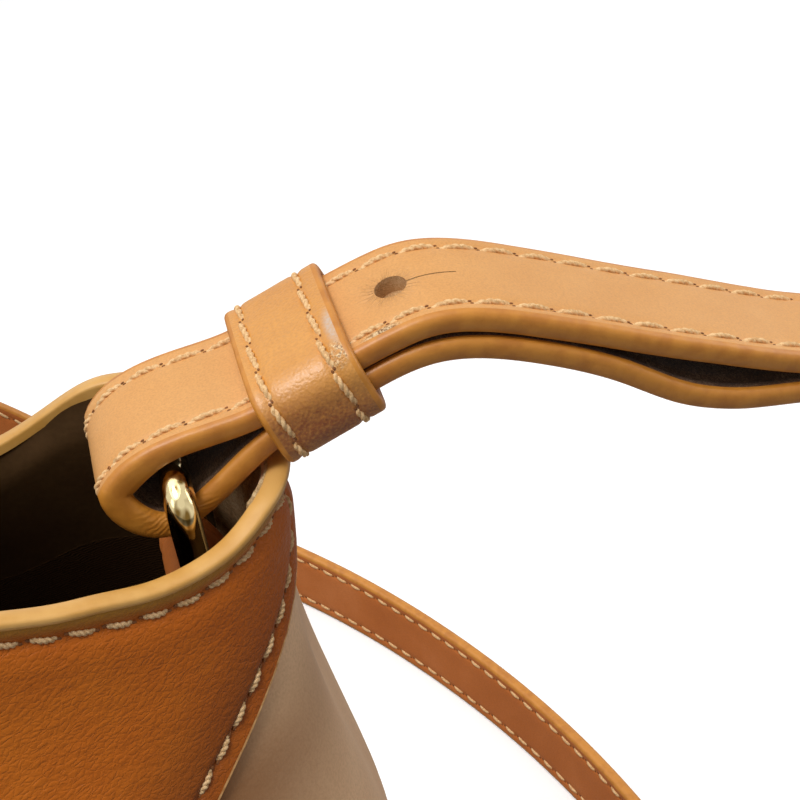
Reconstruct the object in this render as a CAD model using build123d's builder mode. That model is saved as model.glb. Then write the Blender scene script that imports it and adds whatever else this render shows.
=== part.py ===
from build123d import *
from math import cos, pi, radians, sin, tan
import os

# Leather bucket bag with a long shoulder strap, standing on its base.
# Millimetres, +Z up.  The origin is the centre of the base's resting face, +X is the end whose
# strap is adjustable, -Y is the front.

# ---- bag body -----------------------------------------------------------------------------
BASE_WIDTH = 190.0       # oval base, along X
BASE_DEPTH = 100.0       # oval base, along Y
BELLY_WIDTH = 236.0      # widest place of the soft body
BELLY_DEPTH = 126.0
BELLY_HEIGHT = 80.0      # height of the widest place
MOUTH_WIDTH = 201.0      # opening, from tip to tip
MOUTH_DEPTH = 55.0       # opening, from front to back
MOUTH_HEIGHT = 188.0     # front rim at the middle
BACK_SAG = 13.5          # how far the middle of the back rim hangs below the front rim
TIP_RISE = 2.0           # front rim at the tips above its middle
BACK_TIP_RISE = 29.0     # back rim at the tips above its middle
BASE_SQUARE = 2.6        # exponent of the outline: 2 is an ellipse, more is squarer
MOUTH_SQUARE = 3.0

# ---- leathers and boards ------------------------------------------------------------------
PANEL_T = 1.8            # front and back panels
GUSSET_T = 1.4           # end gussets, and the interlining behind the panels
LINING_T = 1.0           # lining, and the leather facing round the mouth
BASE_T = 2.0             # base panel
BOARD_T = 2.5            # stiffening board on the base panel
FIT_GAP = 0.2            # board and loose pieces inside their neighbours
FACING_DEPTH = 28.0      # leather facing below the rim
LAP = 9.0                # gusset leather tucked under a panel's edge
TIP_SLIT = 3.6           # from the tip to a panel's edge, along the diagonal
POCKET_WIDTH = 110.0
POCKET_TOP = 128.0
POCKET_BOTTOM = 48.0
PATCH_T = 0.8            # raw leather patch behind each chape
PATCH_WIDTH = 34.0
PATCH_DEPTH = 62.0       # from the rim down

# ---- snap magnets on the facing -----------------------------------------------------------
SNAP_DIA = 18.0
SNAP_T = 2.4
SNAP_DROP = 15.0         # centre below the rim
SNAP_BOSS_DIA = 7.0
SNAP_BOSS_T = 1.6

# ---- strap ends, rings, chapes and keeper -------------------------------------------------
STRAP_W = 18.0
STRAP_T = 3.0
PLY_GAP = 0.2            # between the two layers of a folded strap end
RISE_ANGLE = 27.0        # folded strap climbs out of the mouth at this angle
DROOP_ANGLE = 17.0       # and falls away beyond the hump at this one
HUMP_RADIUS = 20.0
HUMP_RUN = 13.8          # straight stretch from where the layers part to the hump
FOLD_INSET = 2.1         # where the layers part, inside the tip
FOLD_HEIGHT = 11.4       # and above the front rim
EYE_RADIUS = 5.1         # middle of the strap round the eye of the fold
EYE_TOP_ANGLE = 10.0     # opening of the eye above and below the folded line
EYE_LOW_ANGLE = 18.0
PASS_GAP = 0.5           # between the folded strap, or the keeper, and the rim below it
CUT_OUT = 34.3           # the swinging strap starts this far outside the tip
CUT_GAP = 1.2            # between a fixed fold and the swinging strap
SHORT_TURN = 30.0        # the left fold's sewn return ends this far round the hump, degrees
WIRE = 3.8               # ring wire
RING_SIDE_GAP = 0.5      # between strap edge and ring leg
RING_HEIGHT = 19.3       # between the middles of the ring's top and bottom bars
RING_TILT = 9.0          # ring leans inwards, away from the end wall
RING_CORNER = 1.6        # inner corner radius of the ring
CHAPE_T = 1.6
CHAPE_W = 17.0
CHAPE_GAP = 0.15         # round the ring's bottom bar
CHAPE_LENGTH = 38.0      # sewn tail, below the bar
KEEPER_LENGTH = 13.0
KEEPER_T = 1.7
KEEPER_GAP = 0.35        # between keeper and strap layers
KEEPER_START = -0.8      # keeper's lower end, along the strap from where the layers part
KEEPER_CORNER = 2.6

# ---- holes, stud and tongue ---------------------------------------------------------------
HOLE_DIA = 4.0
HOLE_TURN = 10.0         # first hole, degrees round the hump from its start
SLIT_LENGTH = 6.5
SLIT_WIDTH = 0.5
STUD_RUN = 45.0          # stud along the free strap, from its start
TONGUE_RUN = 68.0        # free end of the tongue, from the strap's start
TONGUE_TIP = 6.0         # corner radius of its end
TONGUE_SECTIONS = 8
STUD_POST = 3.6
STUD_NECK = 0.6          # post showing above the tongue
STUD_BALL = 7.5
SCREW_DIA = 3.0
SCREW_HEAD_DIA = 8.0
SCREW_HEAD_T = 1.0

# ---- free strap, from the right fold to the left one --------------------------------------
# Each stop: X outside that end's tip, Y, lift of the strap's middle (0 rests on edge on the
# floor, 1 is as high as the fold), and roll (0 lies flat, 90 stands on edge).
ROUTE_RIGHT = [
    (41, 0, 1.0005, 0), (48, 0.5, 0.981, 0), (56, 1, 0.9685, 0), (64, 2, 0.963, 0),
    (79, 3, 0.951, 0), (104, 7, 0.914, 5), (132, 12, 0.825, 20), (157, 13, 0.693, 42),
    (175, 6, 0.530, 64), (184, -8, 0.362, 80), (182, -24, 0.215, 88), (167, -35, 0.0945, 90),
    (146, -34, 0.022, 90), (127, -20, 0, 90), (114, 6, 0, 90), (105, 40, 0, 90), (101, 75, 0, 90),
    (96, 105, 0, 90), (85, 142, 0, 90), (69, 177, 0, 90), (46, 213, 0, 90), (22, 238, 0.012, 90),
    (-3, 252, 0.062, 90), (-32, 258, 0.166, 90),
]
ROUTE_LEFT = [
    (-139, 252, 0.28, 90), (-104, 238, 0.382, 90), (-66, 216, 0.49, 90), (-28, 190, 0.60, 90),
    (8, 161, 0.70, 90), (43, 130, 0.79, 90), (74, 98, 0.862, 90), (100, 66, 0.908, 90),
    (111, 32, 0.930, 88), (101, 6, 0.944, 78), (81, -4, 0.960, 52), (61, -3, 0.982, 18),
    (45, 0, 1.014, 2),
]
SECTIONS = 84            # strap sections along the whole route

OUTLINE_POINTS = 28
FORM_LEVELS = 10

TIP_X = MOUTH_WIDTH / 2
WALL_T = PANEL_T + GUSSET_T + LINING_T
FORM_TOP = MOUTH_HEIGHT + 16
FOLD_X = TIP_X - FOLD_INSET
FOLD_Z = MOUTH_HEIGHT + FOLD_HEIGHT
HALF_PLY = (STRAP_T + PLY_GAP) / 2
CUT_X = TIP_X + CUT_OUT
FAR = 400.0              # longer than the bag, for cutting blocks

os.makedirs("parts", exist_ok=True)


def finish(piece, name):
    piece.part.label = name
    export_step(piece.part, f"parts/{name}.step")


# ---- form of the body ---------------------------------------------------------------------
def ease(u):
    u = min(max(u, 0.0), 1.0)
    return u * u * (3 - 2 * u)


def half_size(z, base, belly, mouth, shape):
    """Half width or half depth of the body at height z."""
    if z < BELLY_HEIGHT:
        return (base + (belly - base) * sin(pi / 2 * (z / BELLY_HEIGHT) ** 0.68)) / 2
    climb = min((z - BELLY_HEIGHT) / (MOUTH_HEIGHT - BELLY_HEIGHT), 1.0)
    return (belly - (belly - mouth) * ease(climb ** shape)) / 2


def half_width(z):
    return half_size(z, BASE_WIDTH, BELLY_WIDTH, MOUTH_WIDTH, 1.15)


def half_depth(z):
    return half_size(z, BASE_DEPTH, BELLY_DEPTH, MOUTH_DEPTH, 1.25)


def outline(z, inset):
    """Points of the body's outline at height z, moved inwards by inset."""
    share = ease((z / MOUTH_HEIGHT - 0.5) * 2)
    power = 2 / (BASE_SQUARE + (MOUTH_SQUARE - BASE_SQUARE) * share)
    points = []
    for k in range(OUTLINE_POINTS):
        angle = 2 * pi * (k + 0.5) / OUTLINE_POINTS
        c, s = cos(angle), sin(angle)
        x = (half_width(z) - inset) * abs(c) ** power
        y = (half_depth(z) - inset) * abs(s) ** power
        points.append((x if c > 0 else -x, y if s > 0 else -y))
    return points


def form(inset, bottom=BASE_T, top=FORM_TOP, levels=FORM_LEVELS):
    """Solid filling the body's form, inset from its outer face."""
    with BuildPart() as solid:
        for k in range(levels):
            z = bottom + (top - bottom) * k / (levels - 1)
            with BuildSketch(Plane.XY.offset(z)):
                with BuildLine():
                    Spline(*outline(z, inset), periodic=True)
                make_face()
        loft()
    return solid.part


def rim_height(x, y):
    """Height of the rim above a point of the mouth."""
    run = min(abs(x) / TIP_X, 1.2)
    front = MOUTH_HEIGHT + TIP_RISE * run ** 6
    back = MOUTH_HEIGHT - BACK_SAG + BACK_TIP_RISE * run ** 3.4
    share = 0.5 + y / MOUTH_DEPTH
    return front + (back - front) * share


def above_rim(drop):
    """Everything above the rim's surface lowered by drop."""
    reach = BELLY_DEPTH / 2
    stops = [k / 5 * TIP_X for k in range(-6, 7)]
    with BuildPart() as block:
        for y in (-reach, reach):
            with BuildSketch(Plane.XZ.offset(-y)):
                with BuildLine():
                    edge = Spline(*[(x, rim_height(x, y) - drop) for x in stops])
                    Polyline(edge @ 1, (stops[-1], FAR), (stops[0], FAR), edge @ 0)
                make_face()
        loft(ruled=True)
    return block.part


# Edge of a panel: distance from the tip along the diagonal, share of the mouth's height.
PANEL_EDGE = [(TIP_SLIT, 0.975), (8.4, 0.944), (16.8, 0.899), (28.5, 0.851), (44, 0.766),
              (57, 0.617), (66, 0.40), (70, 0.16), (71, -0.03)]


def panel_zone(side, lap):
    """Space in front of the seams of a front panel (side -1) or back panel (side 1)."""
    with BuildPart() as zone:
        for end in (-1, 1):
            diagonal = Plane(origin=(end * TIP_X, 0, 0), x_dir=(-end, side, 0), z_dir=(side, end, 0))
            with BuildSketch(diagonal):
                with BuildLine():
                    seam = [(u + lap, share * MOUTH_HEIGHT) for u, share in PANEL_EDGE]
                    low = Spline(*seam, tangents=((0, -1), (0.1, -1)))
                    top = (TIP_SLIT + lap, FAR)
                    Polyline(low @ 1, (FAR, seam[-1][1]), (FAR, FAR), top, low @ 0)
                make_face()
            extrude(amount=FAR, both=True, mode=Mode.ADD if end < 0 else Mode.INTERSECT)
        with Locations((0, side * FAR / 2, 0)):
            Box(2 * FAR, FAR, 2 * FAR, mode=Mode.INTERSECT)
    return zone.part


def along(end):
    """Plane of the fold at one end: x runs up the strap, y is across its layers."""
    lean = radians(RISE_ANGLE)
    return Plane(origin=(end * FOLD_X, 0, FOLD_Z), x_dir=(end * cos(lean), 0, sin(lean)),
                 z_dir=(0, -end, 0))


def strap_passage():
    """Room over the tips for the fold's eye, its layers and, further out, the keeper round them."""
    wrap = KEEPER_GAP + KEEPER_T
    eye_run = FOLD_HEIGHT + PASS_GAP
    with BuildPart() as passage:
        for end in (-1, 1):
            parting = along(end) * Pos(0, -HALF_PLY, 0)
            eye = parting * Rot(Z=EYE_LOW_ANGLE) * Pos(-eye_run, -STRAP_T / 2 - PASS_GAP, 0)
            layers = parting * Pos(-PASS_GAP, -STRAP_T / 2 - PASS_GAP, 0)
            wrapped = layers * Pos(KEEPER_START, -wrap, 0)
            for corner, side, run in ((eye, 0, eye_run + PASS_GAP), (layers, 0, FAR),
                                      (wrapped, wrap, FAR)):
                with Locations(corner):
                    Box(run, FAR, STRAP_W + 2 * (side + PASS_GAP),
                        align=(Align.MIN, Align.MIN, Align.CENTER))
    return passage.part


outer_form = form(0)
gusset_form = form(PANEL_T)
lining_form = form(PANEL_T + GUSSET_T)
inner_form = form(WALL_T)
patch_form = form(WALL_T + PATCH_T)
rim_block = above_rim(0) + strap_passage()
facing_block = above_rim(FACING_DEPTH)

with BuildPart() as panel_layer:
    add(outer_form)
    add(gusset_form, mode=Mode.SUBTRACT)
    add(rim_block, mode=Mode.SUBTRACT)

with BuildPart() as gusset_layer:
    add(gusset_form)
    add(lining_form, mode=Mode.SUBTRACT)
    add(rim_block, mode=Mode.SUBTRACT)

with BuildPart() as lining_layer:
    add(lining_form)
    add(inner_form, mode=Mode.SUBTRACT)
    add(rim_block, mode=Mode.SUBTRACT)

for side, name in ((-1, "front"), (1, "back")):
    with BuildPart() as panel:
        add(panel_layer.part)
        add(panel_zone(side, 0), mode=Mode.INTERSECT)
    finish(panel, f"{name}_panel")
    with BuildPart() as interlining:
        add(gusset_layer.part)
        add(panel_zone(side, LAP), mode=Mode.INTERSECT)
    finish(interlining, f"{name}_interlining")

for end, name in ((1, "right"), (-1, "left")):
    with BuildPart() as gusset:
        add(gusset_layer.part)
        for side in (-1, 1):
            add(panel_zone(side, LAP), mode=Mode.SUBTRACT)
        with Locations((end * FAR / 2, 0, 0)):
            Box(FAR, 2 * FAR, 2 * FAR, mode=Mode.INTERSECT)
    finish(gusset, f"gusset_{name}")

with BuildPart() as mouth_facing:
    add(lining_layer.part)
    add(facing_block, mode=Mode.INTERSECT)
finish(mouth_facing, "mouth_facing")

with BuildPart() as lining_wall:
    add(lining_layer.part)
    add(facing_block, mode=Mode.SUBTRACT)
finish(lining_wall, "lining_wall")


# ---- base ---------------------------------------------------------------------------------
def base_plate(inset, bottom, thickness, name):
    with BuildPart() as plate:
        with BuildSketch(Plane.XY.offset(bottom)):
            with BuildLine():
                Spline(*outline(BASE_T, inset), periodic=True)
            make_face()
        extrude(amount=thickness)
    finish(plate, name)


base_plate(0, 0, BASE_T, "base_panel")
base_plate(WALL_T + FIT_GAP, BASE_T, BOARD_T, "base_board")
base_plate(WALL_T + FIT_GAP, BASE_T + BOARD_T, LINING_T, "lining_base")

# ---- slip pocket on the back wall, flat against the lining ----------------------------------
with BuildPart() as slip_pocket:
    add(inner_form)
    add(patch_form, mode=Mode.SUBTRACT)
    with Locations((0, FAR / 2, (POCKET_TOP + POCKET_BOTTOM) / 2)):
        Box(POCKET_WIDTH, FAR, POCKET_TOP - POCKET_BOTTOM, mode=Mode.INTERSECT)
finish(slip_pocket, "slip_pocket")

# ---- magnetic snap on the facing ------------------------------------------------------------
for side, name in ((-1, "snap_stud"), (1, "snap_socket")):
    centre_z = rim_height(0, side * MOUTH_DEPTH / 2) - SNAP_DROP
    wall = half_depth(centre_z) - WALL_T
    face = wall - SNAP_T
    with BuildPart() as snap:
        with BuildSketch(Plane(origin=(0, side * face, centre_z), z_dir=(0, side, 0))):
            Circle(SNAP_DIA / 2)
        extrude(amount=SNAP_T + PATCH_T)
        add(inner_form, mode=Mode.INTERSECT)
        with BuildSketch(Plane(origin=(0, side * face, centre_z), z_dir=(0, -side, 0))):
            Circle(SNAP_BOSS_DIA / 2)
        boss = SNAP_BOSS_T if side < 0 else -SNAP_BOSS_T
        extrude(amount=boss, mode=Mode.ADD if side < 0 else Mode.SUBTRACT)
    finish(snap, name)


# ---- folded strap ends ----------------------------------------------------------------------
top_open = radians(EYE_TOP_ANGLE)
low_open = radians(EYE_LOW_ANGLE)
EYE_BACK = ((EYE_RADIUS / cos(top_open) + EYE_RADIUS / cos(low_open) - 2 * HALF_PLY)
            / (tan(top_open) + tan(low_open)))
EYE_SIDE = HALF_PLY + EYE_BACK * tan(top_open) - EYE_RADIUS / cos(top_open)
LAYER_END = 60.0         # layers are drawn this far past the hump, then cut


def layer(sign, turn=None):
    """Middle line of the upper (1) or lower (-1) layer, outwards from where the layers part."""
    straight = Line((0, sign * HALF_PLY), (HUMP_RUN, sign * HALF_PLY))
    hump = JernArc(straight @ 1, straight % 1, HUMP_RADIUS + sign * HALF_PLY,
                   -(turn or RISE_ANGLE + DROOP_ANGLE))
    if not turn:
        Line(hump @ 1, (hump @ 1) + (hump % 1) * LAYER_END)


def punch(hole):
    """Round hole through one layer, with a slit from it along x; z is the hole's axis."""
    with Locations(hole):
        Cylinder(HOLE_DIA / 2, 2 * HALF_PLY, mode=Mode.SUBTRACT)
    with Locations(hole * Pos(HOLE_DIA / 4 + SLIT_LENGTH / 2, 0, 0)):
        Box(SLIT_LENGTH + HOLE_DIA / 2, SLIT_WIDTH, 2 * HALF_PLY, mode=Mode.SUBTRACT)


def strap_fold(end, short_turn, name):
    """Strap end folded round the ring's top bar; its layers run out over the tip."""
    plane = along(end)
    with BuildPart() as fold:
        with BuildSketch(plane):
            with BuildLine():
                eye = CenterArc((-EYE_BACK, EYE_SIDE), EYE_RADIUS, 90 - EYE_TOP_ANGLE,
                                180 + EYE_TOP_ANGLE + EYE_LOW_ANGLE)
                Line((0, HALF_PLY), eye @ 0)
                Line(eye @ 1, (0, -HALF_PLY))
                layer(1)
                layer(-1, short_turn)
            trace(line_width=STRAP_T)
        extrude(amount=STRAP_W / 2, both=True)
        with Locations((end * (CUT_X - CUT_GAP / 2 - FAR / 2), 0, FOLD_Z)):
            Box(FAR, FAR, FAR, mode=Mode.INTERSECT)
        if not short_turn:
            centre = plane * Pos(HUMP_RUN, -HUMP_RADIUS, 0) * Rot(Z=-HOLE_TURN)
            hole = centre * Pos(0, HUMP_RADIUS + HALF_PLY, 0) * Rot(X=90)
            punch(hole)
    finish(fold, name)


strap_fold(1, None, "strap_fold_right")
strap_fold(-1, SHORT_TURN, "strap_fold_left")

with BuildPart() as keeper:
    lower_end = Plane(along(1) * Pos(KEEPER_START, 0, 0))
    cross = Plane(origin=lower_end.origin, x_dir=(0, 1, 0), z_dir=lower_end.x_dir)
    inner_width = STRAP_W + 2 * KEEPER_GAP
    inner_height = 2 * STRAP_T + PLY_GAP + 2 * KEEPER_GAP
    with BuildSketch(cross):
        RectangleRounded(inner_width + 2 * KEEPER_T, inner_height + 2 * KEEPER_T, KEEPER_CORNER)
        Rectangle(inner_width, inner_height, mode=Mode.SUBTRACT)
    extrude(amount=KEEPER_LENGTH)
finish(keeper, "keeper")


# ---- rings, chapes and patches --------------------------------------------------------------
def ring_plane(end):
    """Plane of a ring: origin at the middle of its top bar, y up the ring, x along Y."""
    eye = Plane(along(end) * Pos(-EYE_BACK, EYE_SIDE, 0))
    lean = radians(RING_TILT)
    return Plane(origin=eye.origin, x_dir=(0, end, 0), z_dir=(end * cos(lean), 0, sin(lean)))


def inner_wall(z):
    """X of the end wall's inner face, patch included, at height z."""
    return half_width(z) - WALL_T - PATCH_T


for end, name in ((1, "right"), (-1, "left")):
    hung = ring_plane(end)
    bar_span = STRAP_W + 2 * RING_SIDE_GAP + WIRE
    corner = RING_CORNER + WIRE / 2
    with BuildPart() as ring:
        with BuildLine(hung) as bent:
            FilletPolyline((-bar_span / 2, 0), (bar_span / 2, 0), (bar_span / 2, -RING_HEIGHT),
                           (-bar_span / 2, -RING_HEIGHT), radius=corner, close=True)
        with BuildSketch(Plane(bent.wire() ^ 0)):
            Circle(WIRE / 2)
        sweep(path=bent.wire())
    finish(ring, f"ring_{name}")

    bar = Plane(hung * Pos(0, -RING_HEIGHT, 0)).origin
    flat = Plane(origin=(0, 0, 0), x_dir=(end, 0, 0), z_dir=(0, -end, 0))
    eye_inner = WIRE / 2 + CHAPE_GAP
    with BuildPart() as chape:
        with BuildSketch(flat):
            with BuildLine():
                start_z = bar.Z - CHAPE_LENGTH / 3
                stop_z = bar.Z - CHAPE_LENGTH
                Polyline((abs(bar.X), bar.Z), (inner_wall(start_z) - CHAPE_T, start_z),
                         (inner_wall(stop_z) - CHAPE_T, stop_z))
            trace(line_width=2 * CHAPE_T)
            with Locations((abs(bar.X), bar.Z)):
                Circle(eye_inner + CHAPE_T)
                Circle(eye_inner, mode=Mode.SUBTRACT)
        extrude(amount=CHAPE_W / 2, both=True)
        add(patch_form, mode=Mode.INTERSECT)
    finish(chape, f"chape_{name}")

    with BuildPart() as patch:
        add(inner_form)
        add(patch_form, mode=Mode.SUBTRACT)
        add(rim_block, mode=Mode.SUBTRACT)
        with Locations((end * FAR / 2, 0, MOUTH_HEIGHT)):
            Box(FAR, PATCH_WIDTH, 2 * PATCH_DEPTH, mode=Mode.INTERSECT)
    finish(patch, f"tip_patch_{name}")


# ---- free strap -----------------------------------------------------------------------------
def layer_height(sign):
    """Height of a layer's middle where the free strap starts."""
    lean, fall = radians(RISE_ANGLE), radians(DROOP_ANGLE)
    peak_run = HUMP_RUN + HUMP_RADIUS * tan((lean + fall) / 2)
    peak_x = FOLD_X + peak_run * cos(lean)
    peak_z = FOLD_Z + peak_run * sin(lean)
    return peak_z - (CUT_X - peak_x) * tan(fall) + sign * HALF_PLY / cos(fall)


def stop_point(end, stop):
    out, y, lift, roll = stop
    return Vector(end * (TIP_X + out), y, STRAP_W / 2 + lift * (FOLD_Z - STRAP_W / 2))


fall = radians(DROOP_ANGLE)
start_x = CUT_X + CUT_GAP / 2
route_points = [Vector(start_x, 0, layer_height(-1))]
route_points += [stop_point(1, stop) for stop in ROUTE_RIGHT]
route_points += [stop_point(-1, stop) for stop in ROUTE_LEFT]
route_points += [Vector(-start_x, 0, layer_height(1))]
rolls = [0] + [stop[3] for stop in ROUTE_RIGHT + ROUTE_LEFT] + [0]
route = Spline(*route_points, tangents=((cos(fall), 0, -sin(fall)), (cos(fall), 0, sin(fall))),
               tangent_scalars=(1, 1))
reaches = [0.0]
for here, there in zip(route_points, route_points[1:]):
    reaches.append(reaches[-1] + (there - here).length)


def roll_at(share):
    """Roll of the strap at a share of its length, between the rolls of the stops."""
    run = share * reaches[-1]
    for k in range(1, len(reaches)):
        if run <= reaches[k]:
            part = (run - reaches[k - 1]) / (reaches[k] - reaches[k - 1])
            return rolls[k - 1] + (rolls[k] - rolls[k - 1]) * part
    return rolls[-1]


def strap_plane(line, share, roll):
    """Cross-section plane: x across the strap, y through its thickness, kept above the floor."""
    heading = line.tangent_at(share)
    left = Vector(0, 0, 1).cross(heading).normalized()
    upward = heading.cross(left)
    across = left * cos(radians(roll)) - upward * sin(radians(roll))
    through = upward * cos(radians(roll)) + left * sin(radians(roll))
    centre = line.position_at(share)
    reach = (abs(across.Z) * STRAP_W + abs(through.Z) * STRAP_T) / 2
    lift = max(0.0, reach - centre.Z)
    return Plane(origin=centre + Vector(0, 0, lift), x_dir=across, z_dir=heading)


def strap_sections(line, count, tilt):
    """Cross-sections at even steps of a line, each rolled by tilt(share)."""
    sections = []
    for k in range(count + 1):
        with BuildSketch(strap_plane(line, k / count, tilt(k / count))) as section:
            Rectangle(STRAP_W, STRAP_T)
        sections.append(section.sketch)
    return sections


stud_spot = strap_plane(route, STUD_RUN / reaches[-1], roll_at(STUD_RUN / reaches[-1]))
stud_axis = Plane(origin=stud_spot.origin, x_dir=stud_spot.z_dir, z_dir=stud_spot.y_dir)

with BuildPart() as strap:
    loft(strap_sections(route, SECTIONS, roll_at), ruled=True)
    with Locations(stud_axis):
        Cylinder(SCREW_DIA / 2 + FIT_GAP / 2, 2 * STRAP_T, mode=Mode.SUBTRACT)
finish(strap, "strap")

# The tongue falls from the hump onto the strap, which it meets at the stud, and then follows it.
tongue_points = [Vector(start_x, 0, layer_height(1))]
for run in (STUD_RUN, (STUD_RUN + TONGUE_RUN) / 2, TONGUE_RUN):
    spot = strap_plane(route, run / reaches[-1], roll_at(run / reaches[-1]))
    tongue_points.append(spot.origin + spot.y_dir * 2 * HALF_PLY)
tongue_line = Spline(*tongue_points, tangents=((cos(fall), 0, -sin(fall)), spot.z_dir),
                     tangent_scalars=(1, 1))


def tongue_roll(share):
    return roll_at(share * TONGUE_RUN / reaches[-1])


with BuildPart() as strap_tongue:
    loft(strap_sections(tongue_line, TONGUE_SECTIONS, tongue_roll), ruled=True)
    tip_edges = strap_tongue.faces().sort_by(Axis.X)[-1].edges().sort_by(SortBy.LENGTH)[:2]
    fillet(tip_edges, TONGUE_TIP)
    punch(stud_axis * Pos(0, 0, 2 * HALF_PLY))
finish(strap_tongue, "strap_tongue")

with BuildPart() as stud_screw:
    with Locations(stud_axis * Pos(0, 0, STRAP_T / 2)):
        Cylinder(SCREW_DIA / 2, STRAP_T + FIT_GAP, align=(Align.CENTER, Align.CENTER, Align.MAX))
    with Locations(stud_axis * Pos(0, 0, -STRAP_T / 2 - FIT_GAP)):
        Cylinder(SCREW_HEAD_DIA / 2, SCREW_HEAD_T, align=(Align.CENTER, Align.CENTER, Align.MAX))
finish(stud_screw, "stud_screw")

with BuildPart() as stud_head:
    post = STRAP_T + PLY_GAP + STUD_NECK
    with Locations(stud_axis * Pos(0, 0, STRAP_T / 2)):
        Cylinder(STUD_POST / 2, post + STUD_BALL / 2, align=(Align.CENTER, Align.CENTER, Align.MIN))
    with Locations(stud_axis * Pos(0, 0, STRAP_T / 2 + post + STUD_BALL / 2)):
        Sphere(STUD_BALL / 2)
finish(stud_head, "stud_head")
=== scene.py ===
from math import cos, pi, radians, sin, tan

import bpy
import numpy as np
from mathutils import Matrix, Vector


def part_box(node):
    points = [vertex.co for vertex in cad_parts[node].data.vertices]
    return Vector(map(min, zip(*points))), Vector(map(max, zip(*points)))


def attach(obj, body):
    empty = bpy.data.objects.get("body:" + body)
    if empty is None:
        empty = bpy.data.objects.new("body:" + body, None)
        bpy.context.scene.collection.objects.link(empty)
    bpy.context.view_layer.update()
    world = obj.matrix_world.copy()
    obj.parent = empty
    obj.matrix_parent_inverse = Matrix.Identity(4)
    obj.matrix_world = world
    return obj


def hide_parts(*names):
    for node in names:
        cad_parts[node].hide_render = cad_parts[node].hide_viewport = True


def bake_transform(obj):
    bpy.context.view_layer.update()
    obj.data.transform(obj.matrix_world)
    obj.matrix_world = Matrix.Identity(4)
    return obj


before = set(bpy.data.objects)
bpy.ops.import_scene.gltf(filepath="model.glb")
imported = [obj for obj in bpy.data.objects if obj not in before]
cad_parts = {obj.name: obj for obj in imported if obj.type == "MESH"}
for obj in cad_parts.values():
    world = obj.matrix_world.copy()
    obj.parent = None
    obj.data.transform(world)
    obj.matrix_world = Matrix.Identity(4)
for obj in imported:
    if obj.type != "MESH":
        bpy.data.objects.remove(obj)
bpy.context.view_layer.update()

# Leather bucket bag. Lengths in this script are millimetres, turned into metres by MM.
MM = 0.001
WELD_GAP = 0.002
rng = np.random.default_rng(7)

# ---- sizes of the bag ----
BASE_WIDTH, BASE_DEPTH = 190.0, 100.0
BELLY_WIDTH, BELLY_DEPTH, BELLY_HEIGHT = 236.0, 126.0, 80.0
MOUTH_WIDTH, MOUTH_DEPTH, MOUTH_HEIGHT = 201.0, 55.0, 188.0
BACK_SAG, TIP_RISE, BACK_TIP_RISE = 13.5, 2.0, 29.0
TIP_X = MOUTH_WIDTH / 2
# How the soft rim leaves its plain curve: a dip in front beside each tip, a crown between them,
# and a swelling behind.
FRONT_DIP, FRONT_DIP_X, FRONT_DIP_W = 2.05, 87, 11.5
FRONT_CROWN, CROWN_FROM, CROWN_TO = 1.2, 58, 74
BACK_SWELL, BACK_SWELL_X, BACK_SWELL_W = 3.3, 78.5, 8
PANEL_T, GUSSET_T, LINING_T, BASE_T, PATCH_T = 1.8, 1.4, 1.0, 2.0, 0.8
WALL_T = PANEL_T + GUSSET_T + LINING_T
BASE_SQUARE, MOUTH_SQUARE = 2.6, 3.0
BELLY_ROUND, WIDTH_TAPER, DEPTH_TAPER = 0.68, 1.15, 1.25
FACING_DEPTH = 28.0
LAP = 9.0                            # the panels lie this far over the gussets
# The panels' side edges: distance from the tip, at 45 degrees to X, at shares of the mouth height.
PANEL_EDGE_FROM_TIP = [3.6, 3.6, 8.4, 16.8, 28.5, 44, 57, 66, 70, 71]
PANEL_EDGE_HEIGHT = [1.2, 0.975, 0.944, 0.899, 0.851, 0.766, 0.617, 0.40, 0.16, -0.03]

STRAP_W, STRAP_T, STRAP_ROUNDING = 18.0, 3.0, 1.15
FOLD_X, FOLD_Z = TIP_X - 2.1, MOUTH_HEIGHT + 11.4
RISE = radians(27)
# The rim is pressed down to this far below the folded strap's middle, over half its width, and
# rises again over the next few millimetres.
STRAP_CLEAR, PRESS_HALF, PRESS_FADE = 7.4, 11.5, 5


# ---- making meshes ----
def deselect():
    if bpy.context.mode != "OBJECT":
        bpy.ops.object.mode_set(mode="OBJECT")
    bpy.ops.object.select_all(action="DESELECT")


def only(piece):
    deselect()
    piece.select_set(True)
    bpy.context.view_layer.objects.active = piece


def joined(piece, other):
    only(piece)
    other.select_set(True)
    bpy.ops.object.join()
    return piece


def points_of(piece):
    """The piece's points, in millimetres."""
    points = np.empty(len(piece.data.vertices) * 3)
    piece.data.vertices.foreach_get("co", points)
    return points.reshape(-1, 3) / MM


def place_points(piece, points):
    piece.data.vertices.foreach_set("co", (np.asarray(points) * MM).ravel())


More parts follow.
